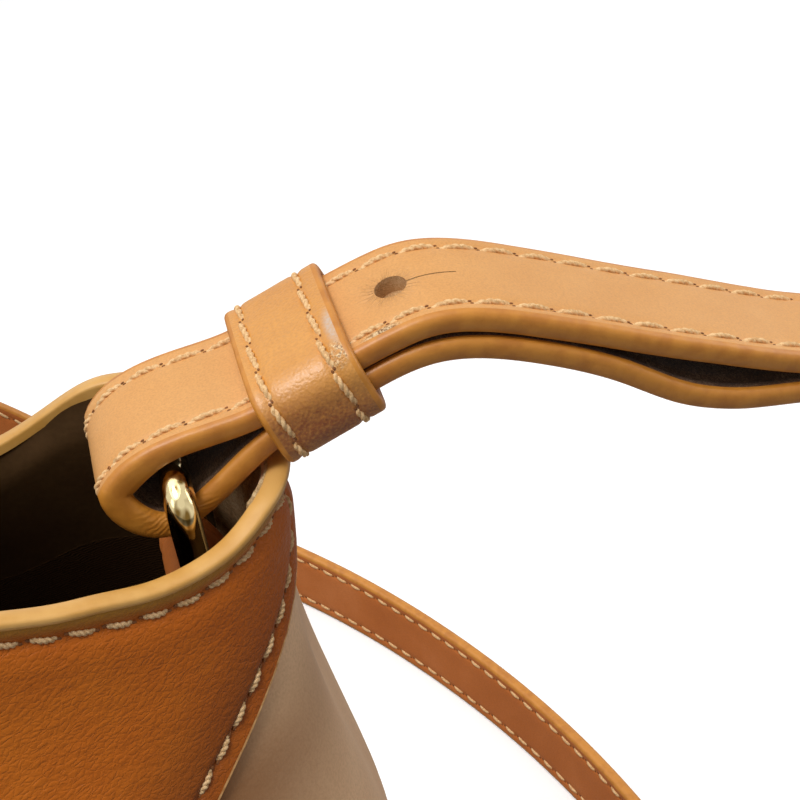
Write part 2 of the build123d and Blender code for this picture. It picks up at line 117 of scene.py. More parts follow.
def laid_grid(name, across, along, shape, wrap_across=False, wrap_along=False, parts=None):
    """A primitive grid whose points are laid at shape(column, row), in millimetres.

    parts gives the material of each strip between two columns.
    """
    deselect()
    across, along = np.asarray(across, float), np.asarray(along, float)
    columns, rows = len(across), len(along)
    bpy.ops.mesh.primitive_grid_add(x_subdivisions=columns - 1, y_subdivisions=rows - 1, size=1)
    piece = bpy.context.object
    piece.name = piece.data.name = name
    share = points_of(piece) * MM + 0.5
    column = np.rint(share[:, 0] * (columns - 1)).astype(int)
    row = np.rint(share[:, 1] * (rows - 1)).astype(int)
    place_points(piece, shape(across[column], along[row]))
    uv = piece.data.uv_layers.active or piece.data.uv_layers.new(name="UVMap")
    corner = np.empty(len(piece.data.loops), int)
    piece.data.loops.foreach_get("vertex_index", corner)
    uv.data.foreach_set("uv", np.stack([across[column], along[row]], 1)[corner].ravel())
    if parts is not None:
        strips = column[corner].reshape(-1, 4).min(1)
        piece.data.polygons.foreach_set("material_index", np.asarray(parts)[strips].tolist())
    piece.data.update()
    if wrap_across or wrap_along:
        weld(piece)
    return piece


def edited(piece, work):
    """Does work in edit mode, with all of the piece selected."""
    only(piece)
    bpy.ops.object.mode_set(mode="EDIT")
    bpy.ops.mesh.select_all(action="SELECT")
    work()
    bpy.ops.object.mode_set(mode="OBJECT")


def face_outwards():
    bpy.ops.mesh.normals_make_consistent(inside=False)


def weld(piece):
    def work():
        bpy.ops.mesh.remove_doubles(threshold=WELD_GAP * MM)
        face_outwards()
    edited(piece, work)


def face_away(piece, way=1):
    """Turns a sheet until its faces point away from the bag's middle, or with -1 towards it."""
    if sum(face.normal.xy.dot(face.center.xy) for face in piece.data.polygons) * way < 0:
        edited(piece, bpy.ops.mesh.flip_normals)


def close_ends(piece):
    """Fills the open ends of a tube."""
    def work():
        bpy.ops.mesh.select_mode(type="EDGE")
        bpy.ops.mesh.select_all(action="DESELECT")
        bpy.ops.mesh.select_non_manifold(extend=False, use_wire=False, use_multi_face=False,
                                         use_non_contiguous=False, use_verts=False)
        bpy.ops.mesh.edge_face_add()
        bpy.ops.mesh.select_mode(type="VERT")
        bpy.ops.mesh.select_all(action="SELECT")
        face_outwards()
    edited(piece, work)


def modify(piece, kind, **settings):
    only(piece)
    modifier = piece.modifiers.new(kind.title(), kind)
    for key, value in settings.items():
        setattr(modifier, key, value)
    bpy.ops.object.modifier_apply(modifier=modifier.name)


def thicken(piece, thickness, **settings):
    """Gives a sheet its thickness, on the side away from its normals unless told otherwise."""
    modify(piece, "SOLIDIFY", thickness=thickness * MM, **({"offset": -1} | settings))


def smooth(piece, angle=None):
    only(piece)
    if angle:
        bpy.ops.object.shade_smooth_by_angle(angle=radians(angle))
    else:
        bpy.ops.object.shade_smooth()


def dress(piece, looks, body="body", nodes=()):
    """Gives a piece its materials, the body it rides and the nodes it stands for."""
    chosen = [polygon.material_index for polygon in piece.data.polygons]
    piece.data.materials.clear()
    for look in looks if isinstance(looks, tuple) else (looks,):
        piece.data.materials.append(look.material)
    piece.data.polygons.foreach_set("material_index", chosen)
    if body:
        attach(piece, body)
    if nodes:
        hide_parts(*nodes)


def lengths(line):
    """Distance along a line at each of its points."""
    return np.r_[0, np.cumsum(np.linalg.norm(np.diff(line, axis=0), axis=1))]


def spline(points, knots=None):
    """Natural cubic curve through points; returns (function of distance, knots)."""
    points = np.asarray(points, float)
    knots = lengths(points) if knots is None else np.asarray(knots, float)
    n, step = len(knots), np.diff(knots)
    matrix, right = np.eye(n), np.zeros_like(points)
    for k in range(1, n - 1):
        matrix[k, k - 1:k + 2] = step[k - 1], 2 * (step[k - 1] + step[k]), step[k]
        right[k] = 6 * ((points[k + 1] - points[k]) / step[k]
                        - (points[k] - points[k - 1]) / step[k - 1])
    bend = np.linalg.solve(matrix, right)

    def at(run):
        run = np.asarray(run, float)
        k = np.clip(np.searchsorted(knots, run, side="right") - 1, 0, n - 2)
        h = step[k][..., None]
        a = (knots[k + 1] - run)[..., None] / h
        b = 1 - a
        return (a * points[k] + b * points[k + 1]
                + ((a ** 3 - a) * bend[k] + (b ** 3 - b) * bend[k + 1]) * h * h / 6)
    return at, knots


def evenly(line, step):
    """Points at even steps along a dense line."""
    reach = lengths(line)
    stops = np.linspace(0, reach[-1], max(2, int(round(reach[-1] / step)) + 1))
    return np.stack([np.interp(stops, reach, line[:, k]) for k in range(line.shape[1])], 1)


def unit(vectors):
    return vectors / np.linalg.norm(vectors, axis=-1, keepdims=True)


# ---- form of the body ----
def ease(u):
    """Smooth step from 0 to 1."""
    u = np.clip(u, 0, 1)
    return u * u * (3 - 2 * u)


def half_size(z, base, belly, mouth, taper):
    low = base + (belly - base) * np.sin(pi / 2 * np.clip(z / BELLY_HEIGHT, 0, 1) ** BELLY_ROUND)
    climb = np.clip((z - BELLY_HEIGHT) / (MOUTH_HEIGHT - BELLY_HEIGHT), 0, 1)
    return np.where(z < BELLY_HEIGHT, low, belly - (belly - mouth) * ease(climb ** taper)) / 2


def half_width(z):
    return half_size(z, BASE_WIDTH, BELLY_WIDTH, MOUTH_WIDTH, WIDTH_TAPER)


def half_depth(z):
    return half_size(z, BASE_DEPTH, BELLY_DEPTH, MOUTH_DEPTH, DEPTH_TAPER)


def squareness(z):
    """Exponent of the outline at a height: 2 is an ellipse, more is squarer."""
    return BASE_SQUARE + (MOUTH_SQUARE - BASE_SQUARE) * ease((z / MOUTH_HEIGHT - 0.5) * 2)


def oval(angle, z, inset):
    """Point of the outline at a height, that far inside the outer face."""
    power = 2 / squareness(z)
    c, s = np.cos(angle), np.sin(angle)
    return np.stack([(half_width(z) - inset) * np.sign(c) * np.abs(c) ** power,
                     (half_depth(z) - inset) * np.sign(s) * np.abs(s) ** power, z + 0 * angle], -1)


# A turn runs from the left tip (0) along the front to the right tip (1) and back behind (2).
WALK_HEIGHT = 150.0
angles = np.linspace(-pi, pi, 8001)
walked = lengths(oval(angles, np.full(len(angles), WALK_HEIGHT), 0))
walked *= 2 / walked[-1]


def wall(turn, z, inset=0.0):
    """Point of the body's wall at a turn and height, that far inside the outer face."""
    return oval(np.interp(np.mod(turn, 2), walked, angles), z, inset)


# At each level: the turn of the front panel's right edge, and the length from tip to tip.
levels = np.linspace(-6, 215, 120)
turns = np.linspace(0.5, 1.0, 1500)
edge_turn, half_round = [], []
for level in levels:
    outline = wall(turns, np.full(len(turns), level))
    from_tip = (TIP_X - outline[:, 0] - outline[:, 1]) / 2 ** 0.5
    edge_at = np.interp(level / MOUTH_HEIGHT, PANEL_EDGE_HEIGHT[::-1], PANEL_EDGE_FROM_TIP[::-1])
    edge_turn.append(np.interp(-edge_at, -from_tip, turns))
    half_round.append(2 * lengths(outline)[-1])
edge_curve, _ = spline(np.array(edge_turn)[::4, None], levels[::4])


def panel_edge(z):
    """Turn of the front panel's right edge at a height."""
    return edge_curve(np.clip(z, levels[0], levels[-4]))[..., 0]


def round_at(z):
    """Length of the wall from tip to tip at a height."""
    return np.interp(z, levels, half_round)


def hump(distance, width):
    """A bell: 1 at no distance, falling to nothing beyond about two widths."""
    return np.exp(-(distance / width) ** 2)


def rim_height(x, y):
    """Height of the rim above a place: it sags, swells and passes below the folded straps."""
    x = np.abs(x)
    run = np.minimum(x / TIP_X, 1.2)
    front = MOUTH_HEIGHT + TIP_RISE * run ** 6
    back = MOUTH_HEIGHT - BACK_SAG + BACK_TIP_RISE * run ** 3.4
    height = front + (back - front) * (0.5 + y / MOUTH_DEPTH)
    dip = (FRONT_DIP * hump(x - FRONT_DIP_X, FRONT_DIP_W)
           - FRONT_CROWN * (1 - ease((x - CROWN_FROM) / (CROWN_TO - CROWN_FROM))))
    height = height - dip * ease(-y / 8)
    height = height + BACK_SWELL * hump(x - BACK_SWELL_X, BACK_SWELL_W) * (y > 0)
    pressed = np.minimum(height, FOLD_Z + (x - FOLD_X) * tan(RISE) - STRAP_CLEAR)
    return height + (pressed - height) * (1 - ease((np.abs(y) - PRESS_HALF) / PRESS_FADE))


def rim_of(turn):
    """Height of the rim at a turn."""
    z = np.full(np.shape(turn), MOUTH_HEIGHT)
    # The rim's height moves its place and the place its height, so they settle in rounds.
    for _ in range(8):
        face = wall(turn, z)
        z = rim_height(face[..., 0], face[..., 1])
    return z


def outward(turn, z):
    """Horizontal outward direction of the wall."""
    step = 1e-3
    along = wall(turn + step, z) - wall(turn - step, z)
    return unit(np.stack([along[..., 1], -along[..., 0], 0 * z], -1))


def edge_row(side, end):
    """Turns and heights of the stitch row inside a panel's edge, upwards."""
    height = np.linspace(3, MOUTH_HEIGHT + 20, 300)
    turn = panel_edge(height) - EDGE_ROW / round_at(height)
    turn = turn if end > 0 else 1 - turn
    turn = turn if side < 0 else 2 - turn
    keep = rim_of(turn) - height > 3.0
    return turn[keep], height[keep]


def rim_row(side):
    """Turns and heights of the stitch row below a panel's rim."""
    last = panel_edge(np.full(1, MOUTH_HEIGHT))[0] - 0.012
    turn = np.linspace(1 - last, last, 400)
    turn = turn if side < 0 else 2 - turn
    return turn, rim_of(turn) - RIM_ROW


def pinches(row, place, key):
    """1 at the needle holes of a stitch row and 0 between them, for places along its key."""
    reach, middles = row_middles(wall(*row), PANEL_PITCH, 1, 1)
    order = np.argsort(row[key])
    run = np.interp(place, row[key][order], reach[order])
    return 0.5 + 0.5 * np.cos(2 * pi * (run - 1) / (middles[1] - middles[0]))


def pull(side, face, turn, below, near_edge):
    """How far the stitches pull the leather in at their needle holes."""
    sunk = np.zeros(len(face))
    for end in (-1, 1):
        wave = pinches(edge_row(side, end), face[:, 2], 1)
        sunk += (wave * hump(near_edge - EDGE_ROW + 0.8, 1.5) * (face[:, 0] * end > 0)
                 * ease((below - 5) / 2))
    wave = pinches(rim_row(side), turn, 0)
    return 0.30 * sunk + 0.16 * wave * hump(below - RIM_ROW, 0.9) * ease((near_edge - 4) / 2)


# Columns and rows of a panel: (distance from the edge, share of the middle), finer along its edges.
EDGE_BAND = 8.0
FINE = np.arange(0, EDGE_BAND + 0.01, 0.4)
PANEL_COLUMNS = np.array([(d, 0.0) for d in FINE]
                         + [(EDGE_BAND, share) for share in np.linspace(0, 1, 150)[1:-1]]
                         + [(EDGE_BAND + d, 1.0) for d in FINE])
PANEL_ROWS = np.array([(0.0, share) for share in np.linspace(0, 1, 90)[:-1]]
                      + [(d, 1.0) for d in FINE])


def groove(distance, depth=0.38, width=0.75):
    """Depth of the groove that a stitch row lies in."""
    return depth * hump(distance, width)


def row_middles(line, pitch, start, stop):
    """Distances along a line, and the middles of the stitches sewn on it."""
    reach = lengths(line)
    count = max(1, int(round((reach[-1] - start - stop) / pitch)))
    return reach, start + (np.arange(count) + 0.5) * (reach[-1] - start - stop) / count


RIM_ROW, EDGE_ROW = 4.0, 3.6         # stitch rows below the rim and inside the panel's edge
RIM_LIP = 1.5                        # the leather starts this far below the rim
HEM = 1.6                            # and ends this far below the base panel's upper face
PITCH, PANEL_PITCH = 5.2, 4.25       # from stitch to stitch on the strap and on the panels
SUNK = 0.28                          # stitches lie this deep in their groove
STITCH_DIP = 1.15                    # and their ends go this much deeper
GUSSET_FOOT = 0.4                    # height that the gussets start at


def relief(face, below):
    """How far the soft leather stands out of the plain form."""
    x, z = face[..., 0], face[..., 2]
    waves = 0.35 * np.sin(x / 23 + z / 31) * np.sin(z / 19 + 1) + 0.22 * np.sin(x / 9 - z / 12)
    padding = 0.18 * ease((below - 4.6) / 3) * ease(z / 20)
    return waves * ease(below / 30) * ease(z / 30) + padding - 0.4 * hump(below - RIM_ROW, 1.7)


def on_leather(turn, z, sunk):
    """Line on a panel's face for a row of stitches, sunk that far."""
    face = wall(turn, z)
    return face + outward(turn, z) * (relief(face, rim_of(turn) - z) - sunk)[:, None]


def panel_point(side, column, row):
    """Point of a panel's outer face; side -1 is the front, 1 the back."""
    c, r = PANEL_COLUMNS[column.astype(int)], PANEL_ROWS[row.astype(int)]
    foot = BASE_T - HEM
    z = np.full(len(c), 100.0)
    for _ in range(9):
        right = panel_edge(z)
        span = 2 * right - 1
        scale = round_at(z)
        turn = 1 - right + c[:, 0] / scale + c[:, 1] * (span - 2 * EDGE_BAND / scale)
        top = rim_of(turn if side < 0 else 2 - turn) - RIM_LIP
        z = foot + r[:, 1] * (top - EDGE_BAND - foot) + r[:, 0]
    left_gap = c[:, 0] + c[:, 1] * (span * scale - 2 * EDGE_BAND)
    near_edge = np.minimum(left_gap, span * scale - left_gap)
    below = top - z + RIM_LIP
    turn = turn if side < 0 else 2 - turn
    face = wall(turn, z)
    dip = groove(below - RIM_ROW) + groove(near_edge - EDGE_ROW) * ease((below - 3) / 2)
    dip = dip - relief(face, below) + pull(side, face, turn, below, near_edge)
    return face - outward(turn, z) * dip[:, None]


# ---- looks ----
BLACK, WHITE = (0, 0, 0, 1), (1, 1, 1, 1)


def grey(value):
    """Linear grey."""
    return value, value, value, 1


def rgb(code):
    """Linear colour of a hex code; a colour that is linear already stays as it is."""
    if not isinstance(code, str):
        return code
    channels = [int(code[k:k + 2], 16) / 255 for k in (0, 2, 4)]
    return tuple(c / 12.92 if c <= 0.04045 else ((c + 0.055) / 1.055) ** 2.4
                 for c in channels) + (1.0,)


class Shading:
    """A tree of shading nodes, and the nodes that the looks are made from."""

    def __init__(self, tree):
        self.nodes, self.links = tree.nodes, tree.links

    def feed(self, socket, value):
        """Gives a socket a value, a colour's hex code or another node's output."""
        if isinstance(value, bpy.types.NodeSocket):
            self.links.new(value, socket)
        else:
            socket.default_value = rgb(value)

    def node(self, kind, inputs=None, **settings):
        made = self.nodes.new("ShaderNode" + kind)
        for key, value in settings.items():
            setattr(made, key, value)
        for key, value in (inputs or {}).items():
            self.feed(made.inputs[key], value)
        return made

    def math(self, operation, *terms):
        return self.node("Math", dict(enumerate(terms)), operation=operation).outputs[0]

    def ramp(self, source, *stops):
        """Colour for a value, between stops of (value, colour)."""
        made = self.node("ValToRGB", {"Fac": source})
        elements = made.color_ramp.elements
        while len(elements) < len(stops):
            elements.new(0.5)
        for element, (position, colour) in zip(elements, stops):
            element.position, element.color = position, rgb(colour)
        return made.outputs["Color"]

    def mapped(self, way="TEXTURE", **inputs):
        """Object coordinates, moved, turned or scaled."""
        where = self.node("TexCoord").outputs["Object"]
        return self.node("Mapping", {"Vector": where} | inputs, vector_type=way).outputs["Vector"]

    def texture(self, kind, scale, stretch=(1, 1, 1), turn=(0, 0, 0), **inputs):
        """A procedural texture on Object coordinates; scale is in patterns per metre."""
        place = self.mapped(Scale=stretch, Rotation=turn)
        return self.node("Tex" + kind, {"Vector": place, "Scale": scale} | inputs)

    def noise(self, *place, **inputs):
        return self.texture("Noise", *place, **inputs).outputs["Fac"]

    def near(self, centre, radii, fringe=0.45):
        """1 in the middle of an ellipsoid about centre (mm), falling to 0 at its surface."""
        place = self.mapped("POINT", Scale=[1 / (r * MM) for r in radii],
                            Location=[-c / r for c, r in zip(centre, radii)])
        gap = self.node("VectorMath", {0: place}, operation="LENGTH").outputs["Value"]
        return self.node("MapRange", {"From Min": 1.0, "From Max": fringe, "Value": gap},
                         interpolation_type="SMOOTHSTEP").outputs["Result"]


class Look(Shading):
    """A finish: a material, its shader and the nodes that feed it."""

    def __init__(self, name, colour, roughness, metallic=0.0):
        self.material = bpy.data.materials.new(name)
        self.material.use_nodes = True
        self.material.diffuse_color = rgb(colour)
        super().__init__(self.material.node_tree)
        self.shader = self.nodes["Principled BSDF"]
        self.set({"Base Color": colour, "Roughness": roughness, "Metallic": metallic})

    def set(self, inputs):
        for key, value in inputs.items():
            self.feed(self.shader.inputs[key], value)

    def mix(self, weight, colour, way="MIX"):
        """Mixes a colour into the one that the finish has."""
        base = self.shader.inputs["Base Color"].links[0].from_socket
        mixed = self.node("Mix", {"Factor": weight, "A": base, "B": colour},
                          data_type="RGBA", blend_type=way)
        self.set({"Base Color": mixed.outputs["Result"]})

    def emboss(self, height, depth):
        """Relief of a depth in millimetres, on top of the relief that the finish has."""
        inputs = {"Distance": depth * MM, "Height": height}
        under = self.shader.inputs["Normal"].links
        if under:
            inputs["Normal"] = under[0].from_socket
        self.set({"Normal": self.node("Bump", inputs).outputs["Normal"]})

    def scuff(self, centre, radii, pale, dark, grain, cover, depth):
        """A scuffed place where the finish is rubbed through to cracked fibres."""
        near = self.near(centre, radii)
        speck = self.noise(grain, Detail=5.0, Roughness=0.7)
        patch = self.ramp(speck, (0.5 - cover / 2, BLACK), (0.62 - cover / 2, WHITE))
        fibre = self.noise(grain * 2.2, Detail=3.0)
        self.mix(self.math("MULTIPLY", near, patch), self.ramp(fibre, (0.4, dark), (0.6, pale)))
        self.emboss(self.math("MULTIPLY", near, fibre), depth)

    def rub_and_shade(self, centre, radii, colour, weight):
        """A place with the finish mixed towards one colour: used for a softly rubbed patch and for
        painted shade.
        """
        fibre = self.math("MULTIPLY", self.noise(2600, Detail=2.0), weight * 1.6)
        self.mix(self.math("MULTIPLY", self.near(centre, radii, 0.2), fibre), colour)

    def crease_round(self, centre, reach, count, depth, turn=(0, 0, 0), inner=0.35):
        """Fine creases running out from a centre (mm), about the axis that turn points."""
        place = self.mapped(Location=[c * MM for c in centre], Rotation=turn)
        angle = self.node("TexGradient", {"Vector": place}, gradient_type="RADIAL").outputs["Fac"]
        uneven = self.math("MULTIPLY", self.noise(700, Detail=2.0), 9.0)
        wave = self.math("SINE", self.math("MULTIPLY_ADD", angle, 2 * pi * count, uneven))
        near = self.near(centre, (reach, reach, reach), inner)
        self.emboss(self.math("MULTIPLY", wave, near), depth)

    def tint_by(self, attribute, colour, weight):
        """Tinted towards a colour where a point attribute is high."""
        mark = self.node("Attribute", attribute_name=attribute).outputs["Fac"]
        self.mix(self.math("MULTIPLY", mark, weight), colour)


def leather(name, dark, middle, light, roughness, grain=1100, depth=0.10, stretch=(1, 1, 1),
            turn=(0, 0, 0), gloss=0.3, mottle=45, sheen=0.0, shading=0.35, creased=False):
    """Grained leather, softly mottled: fine pebbles, or a net of creases."""
    look = Look(name, middle, roughness)
    cloud = look.noise(mottle, Detail=5.0, Roughness=0.6)
    look.set({"Base Color": look.ramp(cloud, (0.30, dark), (0.52, middle), (0.72, light))})
    fine = look.noise(grain * 1.1, stretch, turn, Detail=3.0)
    look.mix(shading, look.ramp(fine, (0.3, (0.62, 0.55, 0.5, 1)), (0.62, WHITE)), "MULTIPLY")
    cells = look.texture("Voronoi", grain, stretch, turn)
    if creased:
        cells.feature = "DISTANCE_TO_EDGE"
        waver = look.texture("Noise", grain * 0.9, Detail=2.0).outputs["Color"]
        straight = cells.inputs["Vector"].links[0].from_socket
        moved = look.node("VectorMath", {0: waver, 1: (0.9 / grain,) * 3, 2: straight},
                          operation="MULTIPLY_ADD")
        look.feed(cells.inputs["Vector"], moved.outputs["Vector"])
        rounded = look.math("SMOOTH_MIN", cells.outputs["Distance"], 0.2, 0.25)
        pebbles = look.math("MULTIPLY", rounded, 1.5)
    else:
        pebbles = look.math("MULTIPLY", cells.outputs["Distance"], -0.45)
    folds = look.noise(grain * 0.4, stretch, turn, Detail=2.0, Distortion=0.8)
    look.emboss(look.math("ADD", pebbles, look.math("MULTIPLY_ADD", fine, 0.45, folds)), depth)
    look.set({"Roughness": look.math("MULTIPLY_ADD", fine, 0.22, roughness - 0.11),
              "Specular IOR Level": gloss, "Sheen Weight": sheen, "Sheen Roughness": 0.4})
    return look


def suede(name, dark, middle, light, fibre=2600, depth=0.25):
    """Raw flesh side: short fibres."""
    look = Look(name, middle, 0.9)
    hairs = look.noise(fibre, (1, 1, 0.35), (0.3, 0.5, 0),
                       Detail=5.0, Roughness=0.7, Distortion=1.2)
    cloud = look.math("MULTIPLY", look.noise(220, Detail=4.0), 0.3)
    mixed = look.math("MULTIPLY_ADD", hairs, 0.7, cloud)
    look.set({"Base Color": look.ramp(mixed, (0.36, dark), (0.5, middle), (0.64, light))})
    look.emboss(mixed, depth)
    return look


def plain(name, colour, shade, roughness, scale=500, depth=0.05):
    """Even finish with a little unevenness."""
    look = Look(name, colour, roughness)
    cloud = look.noise(scale, Detail=4.0)
    look.set({"Base Color": look.ramp(cloud, (0.35, shade), (0.6, colour))})
    if depth:
        look.emboss(cloud, depth)
    return look


panel_skin = leather("panel_leather", "AA540E", "B65E11", "C06815", 0.46, grain=1600, depth=0.15,
                     stretch=(2.1, 1.2, 1.0), turn=(0, -0.45, 0), gloss=0.22, sheen=0.08,
                     shading=0.15, creased=True)
strap_skin, fold_skin = (leather(name, "D79A58", "DDA261", "E3AB6C", 0.5, grain=3400, depth=0.03,
                                 gloss=0.35) for name in ("strap_leather", "fold_leather"))
keeper_skin = leather("keeper_leather", "CE8A34", "D8953E", "E09F4A", 0.42,
                      grain=2600, depth=0.075, gloss=0.8)
# Strap's back face and chapes: a darker, redder copy of the strap leather, partly painted shade.
back_and_shade_skin = leather("strap_back_and_shade_leather", "BE6C32", "C87438", "D07E44", 0.5,
                    grain=3000, depth=0.04, gloss=0.2)
gusset_skin = leather("gusset_leather", "EABB8E", "F1C79C", "F8D2AA", 0.62,
                      grain=2400, depth=0.04, mottle=14, gloss=0.2, sheen=0.08)
# Painted shade: the gussets darken beside the panels low down, and the panels towards their side
# edges.
gusset_skin.tint_by("seam", "7C4E26", 0.92)
panel_skin.tint_by("seam", "5A2A06", 0.78)
panel_skin.tint_by("under_rim", "A87828", 0.9)
facing_skin = leather("facing_leather", "3A2613", "453019", "523A22", 0.7,
                      grain=1200, depth=0.05, gloss=0.1)
edge_paint = plain("edge_paint", "D8A55A", "CC9648", 0.4, scale=260, depth=0.10)
strap_edge = plain("strap_edge_paint", "CC8630", "BC7626", 0.42, scale=420, depth=0.12)
panel_cut = plain("panel_cut_edge", "D9A86C", "B47C40", 0.6, scale=900, depth=0.1)
inner_suede = suede("strap_inner_suede", "2E1D10", "573A22", "94765A")
raw_skin = suede("raw_leather", "9A7A52", "CCA673", "ECD4A8", fibre=1500, depth=0.5)
raw_cut = suede("cut_leather", "9A6C40", "D0A06A", "F0D0A0", fibre=3000)
thread = plain("thread", "ECC48E", "CC9C64", 0.75, scale=2500)
panel_thread = plain("panel_thread", "DCB888", "BA9260", 0.75, scale=2500)
# Painted shade: dark dots where the stitches go into their needle holes.
needle_hole_shade = plain("needle_hole_shade", "8A552A", "6E421E", 0.9, scale=900, depth=0)

brass = Look("brass", "DCCB9C", 0.12, 1.0)
brass.emboss(brass.noise(500, (1, 1, 9), Detail=1.0), 0.25)
# Painted reflection: dark streaks along the wire, in the brass colour, stand in for streaked
# reflections.
reflection_streaks = brass.noise(900, (1, 1, 12), Detail=1.0)
brass.set({"Base Color": brass.ramp(reflection_streaks, (0.36, "745828"), (0.56, "DCC998"))})

lining_cloth = Look("lining_fabric", "2B1D13", 0.9)
twill = lining_cloth.texture("Wave", 700, turn=(0, 0.8, 0.4), Distortion=6.0, Detail=3.0)
twill = twill.outputs["Fac"]
lining_cloth.set({"Specular IOR Level": 0.05,
                  "Base Color": lining_cloth.ramp(twill, (0.2, "2A1A0C"), (0.8, "432D18"))})
lining_cloth.emboss(twill, 0.05)


# ---- threads ----
def strand(name, length, radius, lay, phase, twists, rings, sides):
    """One strand of a stitch, wound round its middle and dipping in at the ends."""
    def shape(column, row):
        share = row / (rings - 1)
        swing = phase + 2 * pi * twists * share
        fade = np.sin(pi * share) ** 0.34
        centre = np.stack([(share - 0.5) * length, lay * np.cos(swing),
                           lay * np.sin(swing) - STITCH_DIP * (1 - fade)], -1)
        turn = 2 * pi * column / sides
        return centre + np.stack([0 * turn, radius * np.cos(turn), radius * np.sin(turn)], -1)
    return laid_grid(name, np.arange(sides + 1), np.arange(rings), shape, wrap_across=True)


def hole_shade_pair(name, length, radius):
    """Dark dots of painted shade in the two needle holes of one stitch."""
    made = []
    for side in (-1, 1):
        deselect()
        bpy.ops.mesh.primitive_uv_sphere_add(segments=8, ring_count=4, radius=radius * MM)
        dot = bpy.context.object
        dot.name = name
        place_points(dot, points_of(dot) * (1.2, 0.9, 0.3) + (side * 0.485 * length, 0, -0.1))
        made.append(dot)
    return joined(*made)


def stitch_kind(name, length, twisted):
    """A stitch, of two strands where it is seen from near, with painted shade at its needle holes.
    """
    if twisted:
        stitch = joined(*[strand(name, length, 0.30, 0.13, phase, 2.4, 23, 7)
                          for phase in (0.0, pi)])
    else:
        stitch = strand(name, length, 0.40, 0.0, 0.0, 0.0, 8, 6)
    return stitch, hole_shade_pair(name + "_holes", length, 0.2 if length > 5 else 0.27)


def repeat(name, template, line, normals, reach, middles, slant, wander):
    """Copies of a template bent along a line on leather, joined as one piece."""
    points = points_of(template)
    faces = [tuple(polygon.vertices) for polygon in template.data.polygons]

    def pick(table, at):
        return np.stack([np.interp(at, reach, table[:, k]) for k in range(3)], -1)
    run = middles[:, None] + points[None, :, 0]
    ahead = unit(pick(line, run + 0.4) - pick(line, run - 0.4))
    up = unit(pick(normals, run))
    up = unit(up - ahead * np.sum(up * ahead, -1, keepdims=True))
    aside = np.cross(up, ahead)
    sideways = points[None, :, 1] + points[None, :, 0] * tan(radians(slant)) + wander[:, None]
    placed = pick(line, run) + aside * sideways[..., None] + up * points[None, :, 2:3]
    mesh = bpy.data.meshes.new(name)
    mesh.from_pydata((placed.reshape(-1, 3) * MM).tolist(), [],
                     [tuple(v + k * len(points) for v in face)
                      for k in range(len(middles)) for face in faces])
    mesh.update()
    piece = bpy.data.objects.new(name, mesh)
    bpy.context.collection.objects.link(piece)
    smooth(piece)
    return piece


def sew(name, kind, line, normals, pitch=PITCH, slant=6, start=1.0, stop=1.0, body="body",
        bend=None, slot="strap_leather"):
    """A row of stitches with painted shade dots at the needle holes that they go into."""
    reach, middles = row_middles(line, pitch, start, stop)
    wander = rng.normal(0, 0.05, len(middles))
    colour = panel_thread if slot == "panel_leather" else thread
    for tag, template, look in (("", kind[0], colour), ("_holes", kind[1], needle_hole_shade)):
        piece = repeat(name + tag, template, line, normals, reach, middles, slant, wander)
        dress(piece, look, None)
        if bend:
            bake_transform(piece)
        else:
            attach(piece, body)


TWISTED_LONG = stitch_kind("stitch_long", 5.15, True)
TWISTED_KEEPER = stitch_kind("stitch_keeper", 5.45, True)
TWISTED_SHORT = stitch_kind("stitch_short", 4.3, True)
PLAIN_STITCH = stitch_kind("stitch_plain", 4.2, False)
TWISTED_PANEL = stitch_kind("stitch_panel", 3.5, True)
PLAIN_PANEL = stitch_kind("stitch_panel_plain", 3.4, False)


# ---- front and back panels ----
def mark_painted_shade_and_rim(piece, reach, top, height, margin=0.01):
    """Marks painted shade beside the panels' side edges, and a band just below the rim.

    The painted shade mark is 1 beside an edge and 0 at reach from it: it darkens the leather
    where shade falls beside the seams and where the panels turn away from the light. It fades
    out over a height above top, and within margin of the edge.
    """
    x, y, z = points_of(piece).T
    power = squareness(z) / 2
    wide, deep = half_width(z) - PANEL_T, half_depth(z) - PANEL_T
    angle = np.arctan2(np.sign(y) * (np.abs(y) / deep) ** power, (np.abs(x) / wide) ** power)
    from_tip = np.abs(np.interp(angle, angles, walked) - 1) * round_at(z)
    gap = np.abs((1 - panel_edge(z)) * round_at(z) - from_tip)
    # Painted shade mask: high beside the panels' side edges, fading out above top.
    near = (1 - ease(gap / reach)) * ease(gap / margin) * (1 - ease((z - top) / height))
    under_rim = 1 - ease((rim_height(x, y) - z - 1.6) / 2.4)
    for name, value in (("seam", near), ("under_rim", under_rim)):
        piece.data.attributes.new(name, "FLOAT", "POINT").data.foreach_set("value", value)


cut_strips = [1] + [0] * (len(PANEL_COLUMNS) - 3) + [1, 1]
for side, name in ((-1, "front"), (1, "back")):
    def on_panel(column, row):
        return panel_point(side, column, row)

    def sew_panel(tag, row, kind, slant=6):
        sew(f"{name}_{tag}", kind, on_leather(*row, SUNK), outward(*row), PANEL_PITCH, slant,
            slot="panel_leather")
    panel = laid_grid(f"{name}_panel_skin", range(len(PANEL_COLUMNS)), range(len(PANEL_ROWS)),
                      on_panel, parts=cut_strips)
    weld(panel)
    face_away(panel)
    for look in (panel_skin, panel_cut):
        panel.data.materials.append(look.material)
    thicken(panel, PANEL_T, use_even_offset=True, material_offset_rim=1)
    mark_painted_shade_and_rim(panel, reach=24, top=168, height=16, margin=6)
    smooth(panel, 40)
    dress(panel, (panel_skin, panel_cut), "body",
          (f"{name}_panel", f"{name}_interlining"))
    for end, tag in ((-1, "left"), (1, "right")):
        sew_panel(f"edge_stitches_{tag}", edge_row(side, end),
                  TWISTED_PANEL if side < 0 and end > 0 else PLAIN_PANEL)
    sew_panel("rim_stitches", rim_row(side), TWISTED_PANEL if side < 0 else PLAIN_PANEL, 6 * side)


